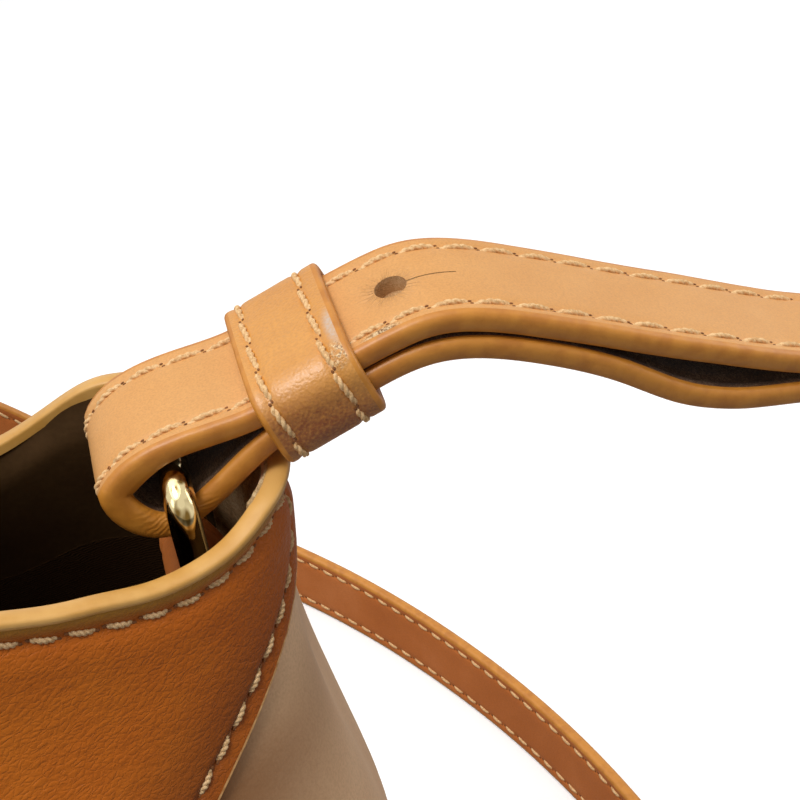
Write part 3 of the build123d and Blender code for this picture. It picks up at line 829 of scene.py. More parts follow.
# ---- painted rim ----
rim_turn = np.linspace(0, 2, 561)
BEAD_W, BEAD_DOWN, BEAD_INSIDE, BEAD_TOP = 2.7, 1.75, 2.4, -0.5
BEAD_OUT = 0.12                      # the bead stands this far out of the panel's face
half = BEAD_W / 2
arch = [(BEAD_OUT - half + half * np.cos(a), BEAD_TOP - 0.75 * (1 - np.sin(a) ** 0.62))
        for a in np.linspace(pi, 0, 15)]
inner_lip = [(-0.9, -BEAD_DOWN), (0.8 - BEAD_W, -BEAD_INSIDE), (BEAD_OUT - BEAD_W, -BEAD_INSIDE)]
bead_profile = np.array(inner_lip + arch + [(BEAD_OUT, 0.3 - BEAD_DOWN), (-0.05, -BEAD_DOWN)])


def on_bead(column, row):
    """Point of the painted bead, which is a little uneven, at a column round the rim."""
    turn = rim_turn[column.astype(int)]
    top = rim_of(turn)
    across = bead_profile[row.astype(int) % len(bead_profile)]
    tip = 1 - ease(np.minimum(turn % 1, 1 - turn % 1) * 60)
    point = wall(turn, top) + outward(turn, top) * across[:, 0:1]
    point[:, 2] = top + across[:, 1] + 0.12 * np.sin(turn * 90) * np.sin(turn * 37)
    point[:, 0] *= 1 - 0.002 * tip
    return point


rim = laid_grid("rim", range(len(rim_turn)), range(len(bead_profile) + 1), on_bead, True, True)
smooth(rim, 60)
dress(rim, edge_paint)


# ---- gussets ----
def on_gusset(end):
    def shape(column, row):
        z = np.full(len(column), 100.0)
        for _ in range(8):
            edge = panel_edge(z) - LAP / round_at(z)
            turn = edge + (2 - 2 * edge) * column
            top = rim_of(turn) - 1.6
            z = GUSSET_FOOT + row * (top - GUSSET_FOOT)
        face = wall(turn, z, PANEL_T)
        # Soft folds near the mouth, a crease beside the tip and a belly half-way up.
        fold = (1.2 * np.exp(-((turn - 1) * 14) ** 2)
                + 0.5 * np.sin(z / 17 + 3 * turn) * np.sin(turn * 31)
                + 0.35 * np.sin(z / 9 + turn * 47))
        fold = fold * (1 - ease((z - 150) / 45)) * ease(z / 25)
        crease = (0.5 * np.exp(-(((turn - 0.972) * 60) - (190 - z) / 40) ** 2)
                  * ease((z - 90) / 40))
        swell = 4.5 * hump(z - 128, 40) * np.sin(pi * column) ** 0.8
        dip = fold * ease(column * 8) * ease((1 - column) * 8) + crease - swell
        face = face - outward(turn, z) * np.minimum(dip, 1.1)[:, None]
        if end < 0:
            face[:, 0] *= -1
        return face
    return shape


for end, name in ((1, "right"), (-1, "left")):
    gusset = laid_grid(f"gusset_{name}_skin", np.linspace(0, 1, 90), np.linspace(0, 1, 120),
                       on_gusset(end))
    weld(gusset)
    face_away(gusset)
    thicken(gusset, GUSSET_T)
    mark_painted_shade_and_rim(gusset, reach=38, top=158, height=14)
    smooth(gusset, 50)
    dress(gusset, gusset_skin, "body", (f"gusset_{name}",))


# ---- inside ----
def inside_sheet(name, turns, drops, inset, thickness, columns, rows, wrap=False, rough=0.0,
                 tuck=0.0, foot=None):
    """Sheet against the inner wall, between two turns and two drops below the rim.

    A foot is the height that it ends at instead of the lower drop.
    """
    def shape(column, row):
        turn = turns[0] + (turns[1] - turns[0]) * column
        top = rim_of(turn) - drops[0]
        bottom = rim_of(turn) - drops[1] if foot is None else foot
        z = bottom + row * (top - bottom)
        face = wall(turn, z, inset - tuck * (1 - ease((top - z) / 7)))
        if rough:
            face += rng.normal(0, rough, (len(column), 1)) * outward(turn, z)
        return face
    piece = laid_grid(name, np.linspace(0, 1, columns), np.linspace(0, 1, rows), shape, wrap)
    weld(piece)
    face_away(piece, -1)
    thicken(piece, thickness)
    smooth(piece, 45)
    return piece


facing = inside_sheet("mouth_facing_skin", (0, 2), (2.0, FACING_DEPTH), WALL_T, LINING_T, 321, 32,
                      True, tuck=1.62)
dress(facing, facing_skin, "body", ("mouth_facing",))
lining = inside_sheet("lining_wall_cloth", (0, 2), (FACING_DEPTH - 1.0, None), WALL_T + 0.05,
                      LINING_T, 241, 60, True, foot=2.2)
dress(lining, lining_cloth, "body", ("lining_wall",))
for turn_mid, name in ((1.0, "right"), (0.0, "left")):
    patch = inside_sheet(f"tip_patch_{name}_skin", (turn_mid - 0.078, turn_mid + 0.078),
                         (0.9, 62), WALL_T + PATCH_T, PATCH_T, 60, 90, rough=0.07, tuck=2.3)
    dress(patch, raw_skin, "body", (f"tip_patch_{name}",))


def turned(name, profile, origin, axis, sides=48):
    """A piece turned on a lathe: profile of (radius, height) along axis from origin."""
    axis = unit(np.asarray(axis, float))
    side = unit(np.cross(axis, [0.3, 0.2, 1.0] if abs(axis[2]) < 0.9 else [1.0, 0, 0]))
    other = np.cross(axis, side)
    table = np.asarray(profile, float)

    def shape(column, row):
        turn = 2 * pi * column / sides
        radius, height = table[row.astype(int)].T
        spoke = side * np.cos(turn)[:, None] + other * np.sin(turn)[:, None]
        return np.asarray(origin) + axis * height[:, None] + spoke * radius[:, None]
    piece = laid_grid(name, range(sides + 1), range(len(table)), shape, wrap_across=True)
    smooth(piece, 35)
    return piece


# ---- base, pocket and snap ----
def oval_plate(name, inset, bottom, thickness, rounding):
    """A plate in the outline of the base."""
    deselect()
    bpy.ops.mesh.primitive_circle_add(vertices=220, radius=1, fill_type="NGON")
    piece = bpy.context.object
    piece.name = piece.data.name = name
    x, y = points_of(piece)[:, :2].T
    points = oval(np.arctan2(y, x), np.full(len(x), 1.0), inset)
    points[:, 2] = bottom
    place_points(piece, points)

    def work():
        bpy.ops.mesh.extrude_region_move(
            TRANSFORM_OT_translate={"value": (0, 0, thickness * MM)})
        bpy.ops.mesh.select_all(action="SELECT")
        face_outwards()
    edited(piece, work)
    modify(piece, "BEVEL", width=rounding * MM, segments=3, limit_method="ANGLE",
           angle_limit=radians(50))
    smooth(piece, 35)
    return piece


dress(oval_plate("base_panel_skin", PANEL_T + 0.15, 0.0, BASE_T, 0.8), panel_skin,
      "body", ("base_panel",))
dress(oval_plate("lining_base_cloth", WALL_T + 0.3, BASE_T + 2.5, LINING_T, 0.3), lining_cloth,
      "body", ("lining_base", "base_board"))

POCKET_WIDTH, POCKET_TOP, POCKET_BOTTOM = 110.0, 128.0, 48.0


def on_pocket(column, row):
    x = (column - 0.5) * POCKET_WIDTH
    z = POCKET_BOTTOM + row * (POCKET_TOP - POCKET_BOTTOM)
    power = squareness(z)
    inset = WALL_T + PATCH_T
    width, depth = half_width(z) - inset, half_depth(z) - inset
    y = depth * (1 - np.abs(x / width) ** power) ** (1 / power)
    slack = ease(row * 3) * np.sin(pi * column) ** 0.7 * (0.4 + 1.8 * row ** 2)
    hem = 0.35 * (row > 0.9)
    return np.stack([x, y - slack - hem, z], -1)


pocket = laid_grid("slip_pocket_cloth", np.linspace(0, 1, 45), np.linspace(0, 1, 41), on_pocket)
weld(pocket)
thicken(pocket, PATCH_T, offset=0)
smooth(pocket, 45)
dress(pocket, lining_cloth, "body", ("slip_pocket",))

SNAP_RADIUS, SNAP_T, SNAP_DROP = 9.0, 2.4, 15.0
snap_rim = [(0, -0.4), (SNAP_RADIUS - 0.5, -0.4), (SNAP_RADIUS, 0.3),
            (SNAP_RADIUS, SNAP_T - 0.7), (SNAP_RADIUS - 0.7, SNAP_T), (5.6, SNAP_T),
            (5.4, SNAP_T - 0.2), (5.2, SNAP_T)]
for side, name, middle in (
        (-1, "snap_stud", [(3.5, SNAP_T), (3.5, SNAP_T + 1.1), (3.0, SNAP_T + 1.6)]),
        (1, "snap_socket", [(3.8, SNAP_T), (3.5, SNAP_T - 0.3), (3.5, SNAP_T - 1.6)])):
    centre_z = float(rim_height(0.0, side * MOUTH_DEPTH / 2)) - SNAP_DROP
    face_y = float(half_depth(np.array(centre_z))) - WALL_T
    snap = turned(f"{name}_metal", snap_rim + middle + [(0, middle[-1][1])],
                  (0, side * face_y, centre_z), (0, -side, 0))
    dress(snap, brass, "body", (name,))


# ---- straps ----
STRAP_ROW = 2.7                      # stitch rows of the strap, in from its edges
STRAP_ROWS = (STRAP_ROW - STRAP_W / 2, STRAP_W / 2 - STRAP_ROW)


def section(width, thickness, rounding, rows=(), middle=4, depth=0.3, parts=(0, 1, 2)):
    """Closed outline of a strap, (aside, up) in turn, and the part each strip belongs to."""
    flat = width / 2 - rounding
    marks = {-flat, flat} | {k * 2 * flat / middle - flat for k in range(1, middle)}
    for row in rows:
        marks = {m for m in marks if abs(m - row) > 1.0 or abs(m) == flat}
        marks |= {row + d for d in (-0.95, -0.6, -0.3, 0, 0.3, 0.6, 0.95)
                  if abs(row + d) < flat - 0.05}
    aside = np.array(sorted(marks))
    dip = sum((groove(aside - row, depth, 0.55) for row in rows), np.zeros(len(aside)))
    arc = np.linspace(pi / 2, -pi / 2, 10)[1:-1]
    end = np.stack([flat + rounding * np.cos(arc) ** 0.8,
                    thickness / 2 * np.sign(np.sin(arc)) * np.abs(np.sin(arc)) ** 0.8], 1)
    top = np.stack([aside, thickness / 2 - dip], 1)
    low = np.stack([aside[::-1], dip[::-1] - thickness / 2], 1)
    outline = np.concatenate([top, end, low, np.stack([-end[::-1, 0], end[::-1, 1]], 1)])
    edge = [parts[1]] * (len(end) + 1)
    face_strips = len(aside) - 1
    return outline, [parts[0]] * face_strips + edge + [parts[2]] * face_strips + edge


def strap_section(middle, parts=(0, 1, 2)):
    """Outline of the strap, with that many strips across its middle."""
    return section(STRAP_W, STRAP_T, STRAP_ROUNDING, STRAP_ROWS, middle, parts=parts)


def heading(line, closed=False):
    """Direction along a line at each of its points."""
    ahead = np.gradient(line, axis=0)
    if closed:
        ahead[0] = ahead[-1] = line[1] - line[-2]
    return unit(ahead)


def strap_frames(line, aside, closed):
    """Directions across and out of a strap, square to its line."""
    ahead = heading(line, closed)
    up = unit(np.cross(ahead, aside))
    return np.cross(up, ahead), up


def ribbon(name, line, aside, cut, closed=False, widths=None, shape_more=None):
    """A strap along a line (points in mm), aside being the direction across it at each point."""
    outline, strips = cut
    aside, up = strap_frames(line, aside, closed)

    def shape(column, row):
        k = row.astype(int)
        spot = outline[column.astype(int) % len(outline)]
        scale = 1.0 if widths is None else widths[k]
        point = line[k] + aside[k] * (spot[:, 0] * scale)[:, None] + up[k] * spot[:, 1:2]
        return point if shape_more is None else shape_more(point, spot, k, up)
    piece = laid_grid(name, range(len(outline) + 1), range(len(line)), shape, True, closed, strips)
    if not closed:
        close_ends(piece)
        for face in piece.data.polygons:
            if len(face.vertices) > 4:
                face.material_index = 1
    smooth(piece, 50)
    return piece


def beside(line, aside, across, height, closed=False):
    """A line on a strap's face, and the face's outward direction along it."""
    aside, up = strap_frames(line, aside, closed)
    return line + aside * across + up * height, up * np.sign(height)


# Outer face of the folded strap at y = 0, from the tongue round the ring to the free strap.
FOLD_FACE = [
    (202.4, 188.5), (191.4, 191.7), (180.6, 194.7), (167.6, 197.5), (156.3, 201), (143.4, 204.9),
    (138, 206.6), (132, 208.4), (127.7, 209.6), (123.5, 210.5), (119.7, 210.9), (116, 210.6),
    (112, 209.3), (107.5, 207.3), (101, 204.0), (95, 201.1), (91, 200.0), (87, 199), (83.4, 197.7),
    (80.4, 195.9), (78.5, 193.9), (77.5, 191.6), (78, 189.2), (79.9, 186.6), (82.6, 184.9),
    (85.2, 184.5), (89.6, 186.7), (93.5, 190.4), (96.8, 193.9), (99.5, 196.1), (104.5, 198.75),
    (110.8, 201.9), (113.5, 203.1), (117.6, 204.2), (122.6, 204.1), (126.7, 203.3), (132.1, 201.7),
    (140.2, 198.4), (148.1, 194.3), (156.5, 191.9), (164.2, 190.9), (172, 189.8),
]
# Middle of the free strap: X outside that end's tip, Y, lift between floor and fold, and roll.
ROUTE_RIGHT = [
    (79, 3, 0.951, 0), (104, 7, 0.914, 5), (132, 12, 0.825, 20), (157, 13, 0.693, 42),
    (175, 6, 0.530, 64), (184, -8, 0.362, 80), (182, -24, 0.215, 88), (167, -35, 0.0945, 90),
    (146, -34, 0.022, 90), (127, -20, 0, 90), (114, 6, 0, 90), (105, 40, 0, 90), (101, 75, 0, 90),
    (96, 105, 0, 90), (85, 142, 0, 90), (69, 177, 0, 90), (46, 213, 0, 90), (22, 238, 0.012, 90),
    (-3, 252, 0.062, 90), (-32, 258, 0.166, 90),
]
ROUTE_LEFT = [
    (-139, 252, 0.28, 90), (-104, 238, 0.382, 90), (-66, 216, 0.49, 90), (-28, 190, 0.60, 90),
    (8, 161, 0.70, 90), (43, 130, 0.79, 90), (74, 98, 0.862, 90), (100, 66, 0.908, 90),
    (111, 32, 0.930, 88), (101, 6, 0.944, 78), (81, -4, 0.960, 52), (61, -3, 0.982, 18),
    (45, 0, 1.014, 2),
]
FOLD_TILT = radians(6)               # the near edge of the right fold sits lower than the far edge
# The right fold drifts towards the back (Y) along its run (X).
DRIFT_X, DRIFT_Y = [0, 130, 148.5, 156.5, 164.5, 179.5, 204], [0, 0, 0.5, 1, 2, 3, 7]
LEFT_FOLD_FROM, LEFT_FOLD_TO = 133.5, 124.0
DENSE_STEP = 0.25
face_at, face_knots = spline(FOLD_FACE)
face = face_at(np.arange(0, face_knots[-1], DENSE_STEP))
face_ahead = heading(face)
fold_middle = face + np.stack([-face_ahead[:, 1], face_ahead[:, 0]], 1) * STRAP_T / 2
fold_x, fold_z = fold_middle.T
right_fold = np.stack([fold_x, np.interp(fold_x, DRIFT_X, DRIFT_Y), fold_z], 1)[::6]
left_x, left_z = -fold_x[fold_x < LEFT_FOLD_FROM], fold_z[fold_x < LEFT_FOLD_FROM]
left_fold = np.stack([left_x, 0 * left_x, left_z], 1)
left_fold = left_fold[:np.max(np.nonzero(left_x > -LEFT_FOLD_TO)[0]) + 1][::6]


def route_stop(end, stop):
    """Point of the free strap in millimetres; end is 1 on the right and -1 on the left."""
    return end * (TIP_X + stop[0]), stop[1], STRAP_W / 2 + stop[2] * (FOLD_Z - STRAP_W / 2)


def square_to(ahead, aside):
    """A direction turned until it is square to the one ahead."""
    return unit(aside - ahead * np.sum(aside * ahead, 1, keepdims=True))


route = ([route_stop(1, stop) for stop in ROUTE_RIGHT]
         + [route_stop(-1, stop) for stop in ROUTE_LEFT])
rolls = np.concatenate([np.zeros(len(right_fold)), [stop[3] for stop in ROUTE_RIGHT + ROUTE_LEFT],
                        np.zeros(len(left_fold))])
strap_at, strap_knots = spline(np.concatenate([right_fold, np.array(route), left_fold]))
dense_run = np.arange(0, strap_knots[-1], DENSE_STEP)
dense = strap_at(dense_run)
dense_roll = np.radians(np.interp(dense_run, strap_knots, rolls))
ahead = heading(dense)
left = np.cross([0, 0, 1.0], ahead)
in_fold = ((dense_run < strap_knots[len(right_fold) - 1])
           | (dense_run > strap_knots[-len(left_fold)]))
left[in_fold] = [0, 1.0, 0]
left = square_to(ahead, left)
loop_index = int(np.argmin(dense[:2000, 0]))
lower_layer = np.arange(len(dense)) > loop_index
tilted = (1 - ease((dense[:, 0] - 150) / 40)) * (dense_run < strap_knots[len(right_fold) + 1])
tilted *= np.where(lower_layer, ease((dense[:, 0] - 88) / 10), 1)
left = square_to(ahead, unit(left + np.outer(tilted, [0, 0, tan(FOLD_TILT)])))
above = np.cross(ahead, left)
dense_aside = above * np.sin(dense_roll)[:, None] - left * np.cos(dense_roll)[:, None]
dense_up = np.cross(ahead, dense_aside)
# Nothing of the strap goes below the floor.
lowest = np.abs(dense_aside[:, 2]) * STRAP_W / 2 + np.abs(dense_up[:, 2]) * STRAP_T / 2
dense[:, 2] = np.maximum(dense[:, 2], lowest)

SPLIT_X = 172.0
tongue_from = int(np.argmax(dense[:, 0] < SPLIT_X))
right_to = loop_index + int(np.argmax(dense[loop_index:, 0] > SPLIT_X))
left_from = len(dense) - 1 - int(np.argmax(dense[::-1, 0] < -SPLIT_X))
# Spans across the folds from the body to the strap: body, strap and two points in metres.
# sew only reads that one is given, and then leaves the stitches in place without a body.
RIGHT_BEND = ("body", "strap", (0.118, 0, 0.204), (0.165, 0, 0.204))
LEFT_BEND = ("body", "strap", (-0.118, 0, 0.204), (-0.165, 0, 0.204))


def stretch(first, last, step):
    """Line and directions of the strap between two dense indices, at even steps."""
    span = slice(first, last + 1)
    table = evenly(np.concatenate([dense[span], dense_aside[span] * 1e-6], 1), step)
    return table[:, :3], unit(table[:, 3:])


def sew_strap(name, line, aside, kind, sides, body="strap", bend=None, start=1.0):
    """Both stitch rows of a length of strap, on its outer side (1), its inner side (-1) or both."""
    for across in STRAP_ROWS:
        for height in sides:
            row, normal = beside(line, aside, across, height * (STRAP_T / 2 - 0.1))
            tag = "near" if across > 0 else "far"
            tag = f"{name}_stitches_{tag}_{'top' if height > 0 else 'low'}"
            sew(tag, kind, row, normal, PITCH, 6 * height, start, 1.0, body, bend)


# Right end: tongue tip, fold and both layers, then the free strap and the left fold.
HOLE_NEAR, LOOP_MIDDLE = (113.9, 208.6), (79.5, 190.5)      # X and Z
hole_run = int(np.argmin(np.linalg.norm(dense[:loop_index, [0, 2]] - HOLE_NEAR, axis=1)))
hole_at, hole_up = dense[hole_run], dense_up[hole_run]


def dimple(point, spot, k, up):
    """The leather sinks round the hole, and is thicker inside the loop round the ring."""
    sink = 0.45 * hump(np.linalg.norm(point - hole_at, axis=1), 3.3) * (spot[:, 1] > 0)
    from_bend = np.linalg.norm(point[:, [0, 2]] - LOOP_MIDDLE, axis=1)
    squashed = -0.8 * np.exp(-(from_bend / 6.5) ** 4) * (spot[:, 1] < 0)
    return point + up[k] * (squashed - sink)[:, None]


line, aside = stretch(tongue_from, right_to, 0.9)
fold_right = ribbon("strap_fold_right_skin", line, aside, strap_section(8), shape_more=dimple)
sew_strap("fold_right", line, aside, TWISTED_LONG, (1,), bend=RIGHT_BEND)
fold_skin.scuff((111.6, -7.9, 207.0), (3.6, 1.5, 2.8), "F2D4A4", "7C4E24", 1500, 0.45, 0.3)
fold_skin.crease_round(hole_at + hole_up * STRAP_T / 2, 5.5, 26, 0.08)
strap_edge.crease_round((86.5, -9.0, 188.5), 5.6, 34, 0.016, (pi / 2, 0, 0), 0.6)
fold_looks = (fold_skin, strap_edge, inner_suede, raw_cut)
for look in fold_looks:
    fold_right.data.materials.append(look.material)

HOLE_RADIUS, SLIT_LENGTH, SLIT_WIDTH = 2.0, 6.5, 0.18
deselect()
bpy.ops.mesh.primitive_cylinder_add(vertices=40, radius=HOLE_RADIUS * MM, depth=3.3 * MM,
                                    location=(0, 0, 0.7 * MM))
cutter = bpy.context.object
deselect()
bpy.ops.mesh.primitive_cube_add(size=1)
slit = bpy.context.object
slit.scale = (SLIT_LENGTH * MM, SLIT_WIDTH * MM, 2.6 * MM)
slit.location = ((HOLE_RADIUS + SLIT_LENGTH / 2 - 0.4) * MM, 0, 0.4 * MM)
bpy.ops.object.transform_apply(location=True, rotation=True, scale=True)
out = -ahead[hole_run]
seat = Matrix((out, np.cross(hole_up, out), hole_up)).transposed().to_4x4()
seat.translation = Vector(hole_at * MM)
for tool in (cutter, slit):
    tool.data.materials.append(raw_cut.material)
    tool.data.transform(seat)
    modify(fold_right, "BOOLEAN", operation="DIFFERENCE", object=tool, solver="EXACT",
           material_mode="TRANSFER")
    bpy.data.objects.remove(tool)
smooth(fold_right, 50)
dress(fold_right, fold_looks, None, ("strap_fold_right",))
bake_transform(fold_right)

line, aside = stretch(0, tongue_from, 0.8)
from_end = np.linspace(0, lengths(line)[-1], len(line))
# The tongue narrows to a rounded tip over its last 6 mm.
widths = (3 + 6 * np.sqrt(1 - ((6 - from_end) / 6).clip(0, 1) ** 2)) / 9
tongue = ribbon("strap_tongue_skin", line, aside, strap_section(8), widths=widths)
dress(tongue, (strap_skin, strap_edge, inner_suede), "strap", ("strap_tongue",))
sew_strap("tongue", line, aside, TWISTED_SHORT, (1,), start=4)

line, aside = stretch(right_to, left_from, 2.4)
free_strap = ribbon("strap_skin", line, aside, strap_section(4))
# The strap's back face wears the darker leather, which is partly painted shade.
dress(free_strap, (strap_skin, strap_edge, back_and_shade_skin), "strap", ("strap",))
sew_strap("strap", line, aside, PLAIN_STITCH, (1, -1))

line, aside = stretch(left_from, len(dense) - 1, 1.1)
fold_left = ribbon("strap_fold_left_skin", line, aside, strap_section(6, (2, 1, 0)))
dress(fold_left, (strap_skin, strap_edge, inner_suede), None,
      ("strap_fold_left",))
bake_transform(fold_left)
sew_strap("fold_left", line, aside, PLAIN_STITCH, (-1,), bend=LEFT_BEND)


# ---- rings and chapes ----
WIRE, RING_SPAN, RING_HEIGHT = 3.8, 22.8, 19.3
TOP_BAR, LOW_BAR = (85.8, 191.86), (88.8, 172.8)      # X and Z of the ring's bars
RING_SHIFT, RING_SKEW = 0.5, 0.8     # the near leg hangs this far out, and the far leg further
CHAPE_W, CHAPE_T, CHAPE_ROWS = 17.0, 1.6, (-5.9, 5.9)


def rounded_loop(width, height, radius, step):
    """Closed rounded rectangle, centred, as (aside, up) points from the middle of its top."""
    w, h = width / 2 - radius, height / 2 - radius
    corners = [(w, h, pi / 2), (w, -h, 0), (-w, -h, -pi / 2), (-w, h, -pi)]
    points = [(0, height / 2)]
    for cx, cy, first in corners:
        for a in np.linspace(first, first - pi / 2, 13):
            points.append((cx + radius * np.cos(a), cy + radius * np.sin(a)))
    points.append((0, height / 2))
    return evenly(np.array(points), step)


def inner_face(z):
    """Half the width between the tip patches at a height."""
    return float(half_width(np.array(z))) - WALL_T - PATCH_T


for end, name in ((1, "right"), (-1, "left")):
    top_bar, low_bar = (np.array([end * x, 0, z]) for x, z in (TOP_BAR, LOW_BAR))
    middle = (top_bar + low_bar) / 2
    ring_up = unit(top_bar - low_bar)
    ring_side = np.array([0, 1.0, 0])
    ring_out = np.cross(ring_side, ring_up)
    loop = rounded_loop(RING_SPAN, RING_HEIGHT, 3.5, 0.45)
    path = middle + ring_side * loop[:, 0:1] + ring_up * loop[:, 1:2]
    path[:, 0] += end * (RING_SHIFT + RING_SKEW * (path[:, 1] / RING_SPAN + 0.5))
    path_in = np.cross(heading(path, True), ring_out)
    facet_way = unit(np.array([-0.62 * end, -0.72, 0.1]))
    facet_way = unit(facet_way - ring_up * np.dot(facet_way, ring_up))

    def on_ring(column, row):
        k = row.astype(int) % (len(path) - 1)
        turn = 2 * pi * column / 32
        offset = path_in[k] * np.cos(turn)[:, None] + ring_out * np.sin(turn)[:, None]
        offset = offset * WIRE / 2
        # The near leg is worn to a facet, which is widest at its middle.
        limit = 1.35 + 0.5 * (((path[k] - middle) @ ring_up - 1.9) / 5.6) ** 2
        excess = np.where(path[k][:, 1] < -6, np.maximum(offset @ facet_way - limit, 0), 0)
        return path[k] + offset - 0.87 * facet_way * excess[:, None]
    ring = laid_grid(f"ring_{name}_wire", range(33), range(len(path)), on_ring, True, True)
    smooth(ring, 28)
    dress(ring, brass, f"ring_{name}", (f"ring_{name}",))

    # The chape comes up the wall, goes over the ring's low bar and down again.
    bar = np.array(LOW_BAR)
    lean = unit(bar - (inner_face(160.0) - 1.6, 160.0))
    across_bar = np.array([lean[1], -lean[0]])
    over_bar = [bar + 2.85 * (across_bar * np.cos(a) + lean * np.sin(a))
                for a in np.linspace(0, pi, 15)]
    up_side = [(inner_face(z) - 0.85, z) for z in (134.8, 141.0, 148.0, 155.0)]
    down_side = [(inner_face(z) - 2.5, z) for z in (155.0, 148.0, 141.0, 135.2)]
    chape_at, chape_knots = spline(up_side + over_bar + down_side)
    flat = evenly(chape_at(np.arange(0, chape_knots[-1], 0.2)), 0.8)
    line = np.stack([end * flat[:, 0], 0 * flat[:, 0], flat[:, 1]], 1)
    aside = np.tile([0.0, end * 1.0, 0.0], (len(line), 1))
    chape = ribbon(f"chape_{name}_skin", line, aside,
                   section(CHAPE_W, CHAPE_T, 0.7, CHAPE_ROWS, 6, 0.2))
    # The chapes wear the darker strap leather, which is partly painted shade.
    dress(chape, (back_and_shade_skin, strap_edge, back_and_shade_skin), "body", (f"chape_{name}",))
    sewn = (flat[:, 1] < 156) & (np.arange(len(flat)) > len(flat) / 2)
    for across in CHAPE_ROWS:
        row, normal = beside(line[sewn], aside[sewn], across, 0.65)
        inward = normal * np.sign(np.sum(normal * [-end, 0, 0], 1))[:, None]
        sew(f"chape_{name}_stitches_{'near' if across < 0 else 'far'}", PLAIN_STITCH, row, inward,
            4.4)


# ---- keeper ----
KEEPER_LENGTH, KEEPER_T, KEEPER_START = 13.0, 1.7, -0.8
KEEPER_ROWS = (-KEEPER_LENGTH / 2 + 2.1, KEEPER_LENGTH / 2 - 2.9)
run_way = np.array([cos(RISE), 0, sin(RISE)])
rise_way = np.array([-sin(RISE), 0, cos(RISE)])
keeper_middle = (np.array([FOLD_X, 0, FOLD_Z])
                 + run_way * (KEEPER_START + KEEPER_LENGTH / 2 - 0.5) - rise_way * 0.5)
loop = rounded_loop(STRAP_W + 1.9 + KEEPER_T, 7.3 + KEEPER_T, 3.0, 0.6)
bulge = 0.3 * np.exp(-(loop[:, 0] / 6.5) ** 4) * np.sign(loop[:, 1])
line = keeper_middle + np.outer(loop[:, 0], [0, 1.0, 0]) + np.outer(loop[:, 1] + bulge, rise_way)
line[:, 2] += line[:, 1] * tan(0.8 * FOLD_TILT)
aside = np.tile(run_way, (len(line), 1))
if np.sum(np.cross(heading(line), aside) * (line - keeper_middle)) < 0:
    line = line[::-1]
scuffed = keeper_middle + run_way * 5.0 + rise_way * 5.0
keeper_skin.rub_and_shade(scuffed + [0.2, -5.2, 0], (1.1, 4.6, 2.6), "C4B8AC", 0.75)
# Painted shade: the keeper's near, lower side darkened where it turns away from the light.
keeper_skin.rub_and_shade(keeper_middle + [2.0, -14.5, -3.5], (22, 8.0, 9.0), "904A0C", 1.25)
keeper_skin.scuff(scuffed + [0, -9.8, -0.8], (1.5, 2.4, 2.4), "F0CE98", "8A5828", 1900, 0.1, 0.2)
keeper = ribbon("keeper_skin", line, aside,
                section(KEEPER_LENGTH, KEEPER_T, 0.75, KEEPER_ROWS, 8, 0.32), closed=True)
dress(keeper, (keeper_skin, strap_edge, inner_suede), "keeper", ("keeper",))
for across in KEEPER_ROWS:
    row, normal = beside(line, aside, across, KEEPER_T / 2 - 0.12, closed=True)
    sew(f"keeper_stitches_{'lower' if across < 0 else 'upper'}", TWISTED_KEEPER, row, normal,
        5.5, 5, 0.0, 0.0, "keeper")


# ---- stud ----
STUD_X, POST, BALL = 180.6, 1.8, 3.75
stud_run = right_to + int(np.argmin(np.abs(dense[right_to:right_to + 200, 0] - STUD_X)))
stud_at, stud_up = dense[stud_run], -dense_up[stud_run]
half = STRAP_T / 2
post_top = half + STRAP_T + 0.2 + 0.6
ball = [(BALL * cos(a), post_top + BALL * (1 + sin(a))) for a in np.linspace(-1.05, pi / 2, 12)]
head = ([(0, half - 0.6), (POST, half - 0.6), (POST, post_top + 0.4)] + ball[:-1]
        + [(0, ball[-1][1])])
screw = [(0, -half - 1.1), (3.4, -half - 1.1), (3.9, -half - 0.7), (4.0, -half), (1.4, -half),
         (1.4, 0.4), (0, 0.4)]
for name, profile in (("stud_head", head), ("stud_screw", screw)):
    dress(turned(f"{name}_metal", profile, stud_at, stud_up, 40), brass, "strap", (name,))

for spare in (TWISTED_LONG + TWISTED_KEEPER + TWISTED_SHORT + PLAIN_STITCH + TWISTED_PANEL
              + PLAIN_PANEL):
    bpy.data.objects.remove(spare)


# ---- stage, light and camera ----
DIM = 0.17                           # light of the room; the background is seen as plain white
deselect()
bpy.ops.mesh.primitive_plane_add(size=6, location=(0, 0, 0))
floor = bpy.context.object
floor.name = "floor"
paper = Look("floor_white", grey(0.92), 0.9)
seen = paper.node("LightPath").outputs["Is Camera Ray"]
paper.set({"Base Color": paper.ramp(seen, (0.0, grey(0.3)), (1.0, WHITE)),
           "Emission Color": paper.ramp(seen, (0.0, BLACK), (1.0, grey(0.16))),
           "Emission Strength": 1.0, "Specular IOR Level": 0.0})
floor.data.materials.append(paper.material)

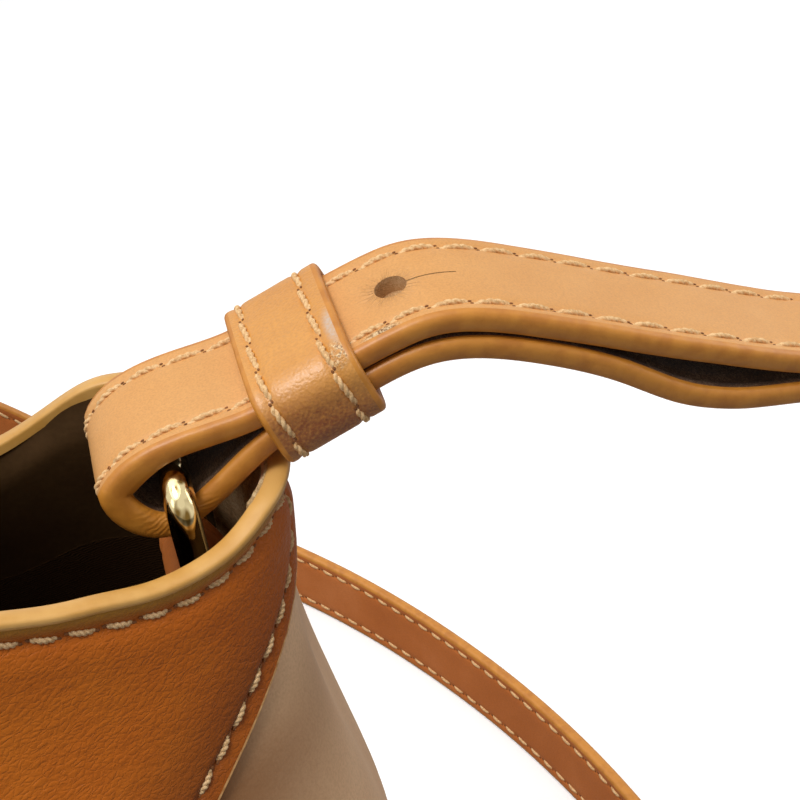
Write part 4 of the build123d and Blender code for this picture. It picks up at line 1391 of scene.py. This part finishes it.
world = bpy.data.worlds.new("studio")
bpy.context.scene.world = world
world.use_nodes = True
sky = Shading(world.node_tree)
ray = sky.node("LightPath").outputs
seen = sky.math("MAXIMUM", ray["Is Camera Ray"], ray["Is Glossy Ray"])
seen = sky.math("MAXIMUM", seen, ray["Is Transmission Ray"])
background = sky.nodes["Background"].inputs
sky.feed(background["Strength"], sky.math("MULTIPLY_ADD", seen, 1 - DIM, DIM))
sky.feed(background["Color"], WHITE)


def hung(name, data):
    """A lamp or the camera, put into the scene."""
    holder = bpy.data.objects.new(name, data)
    bpy.context.collection.objects.link(holder)
    return holder


sun = bpy.data.lights.new("soft_overhead", "SUN")
sun.energy, sun.angle = 1.5, radians(70)
hung("soft_overhead", sun).rotation_euler = (radians(2), radians(-20), 0)
# Round lamps: place and aim in metres, size and power.
for name, where, aim, size, watts in (
        ("key", (-0.42, -0.34, 1.25), (0.08, 0, 0.18), 0.4, 7.5),
        ("front_left", (-1.4, -0.6, 0.8), (0, 0, 0.12), 0.7, 2),
        ("back_right", (1.1, 0.15, 0.7), (0.11, 0, 0.14), 0.8, 3.4)):
    light = bpy.data.lights.new(name, "AREA")
    light.shape, light.size, light.energy = "DISK", size, watts
    holder = hung(name, light)
    holder.location = where
    holder.rotation_euler = (Vector(aim) - Vector(where)).to_track_quat("-Z", "Y").to_euler()

# The camera stands a little over 200 mm from the right ring, in front of the bag and above it.
AZIMUTH, ELEVATION = radians(-14), radians(30)
CAMERA_FROM_RING = Vector((-15.7, -174.3, 115.6))
camera_data = bpy.data.cameras.new("camera")
camera = hung("camera", camera_data)
camera_data.lens, camera_data.sensor_width = 76.57, 36
camera_data.clip_start = 0.01
back = Vector((sin(AZIMUTH) * cos(ELEVATION), -cos(AZIMUTH) * cos(ELEVATION), sin(ELEVATION)))
right = Vector((cos(AZIMUTH), sin(AZIMUTH), 0))
low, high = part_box("ring_right")
view = Matrix((right, back.cross(right), back)).transposed().to_4x4()
view.translation = (low + high) / 2 + CAMERA_FROM_RING * MM
camera.matrix_world = view
bpy.context.scene.camera = camera
bpy.context.scene.view_settings.view_transform = "Standard"
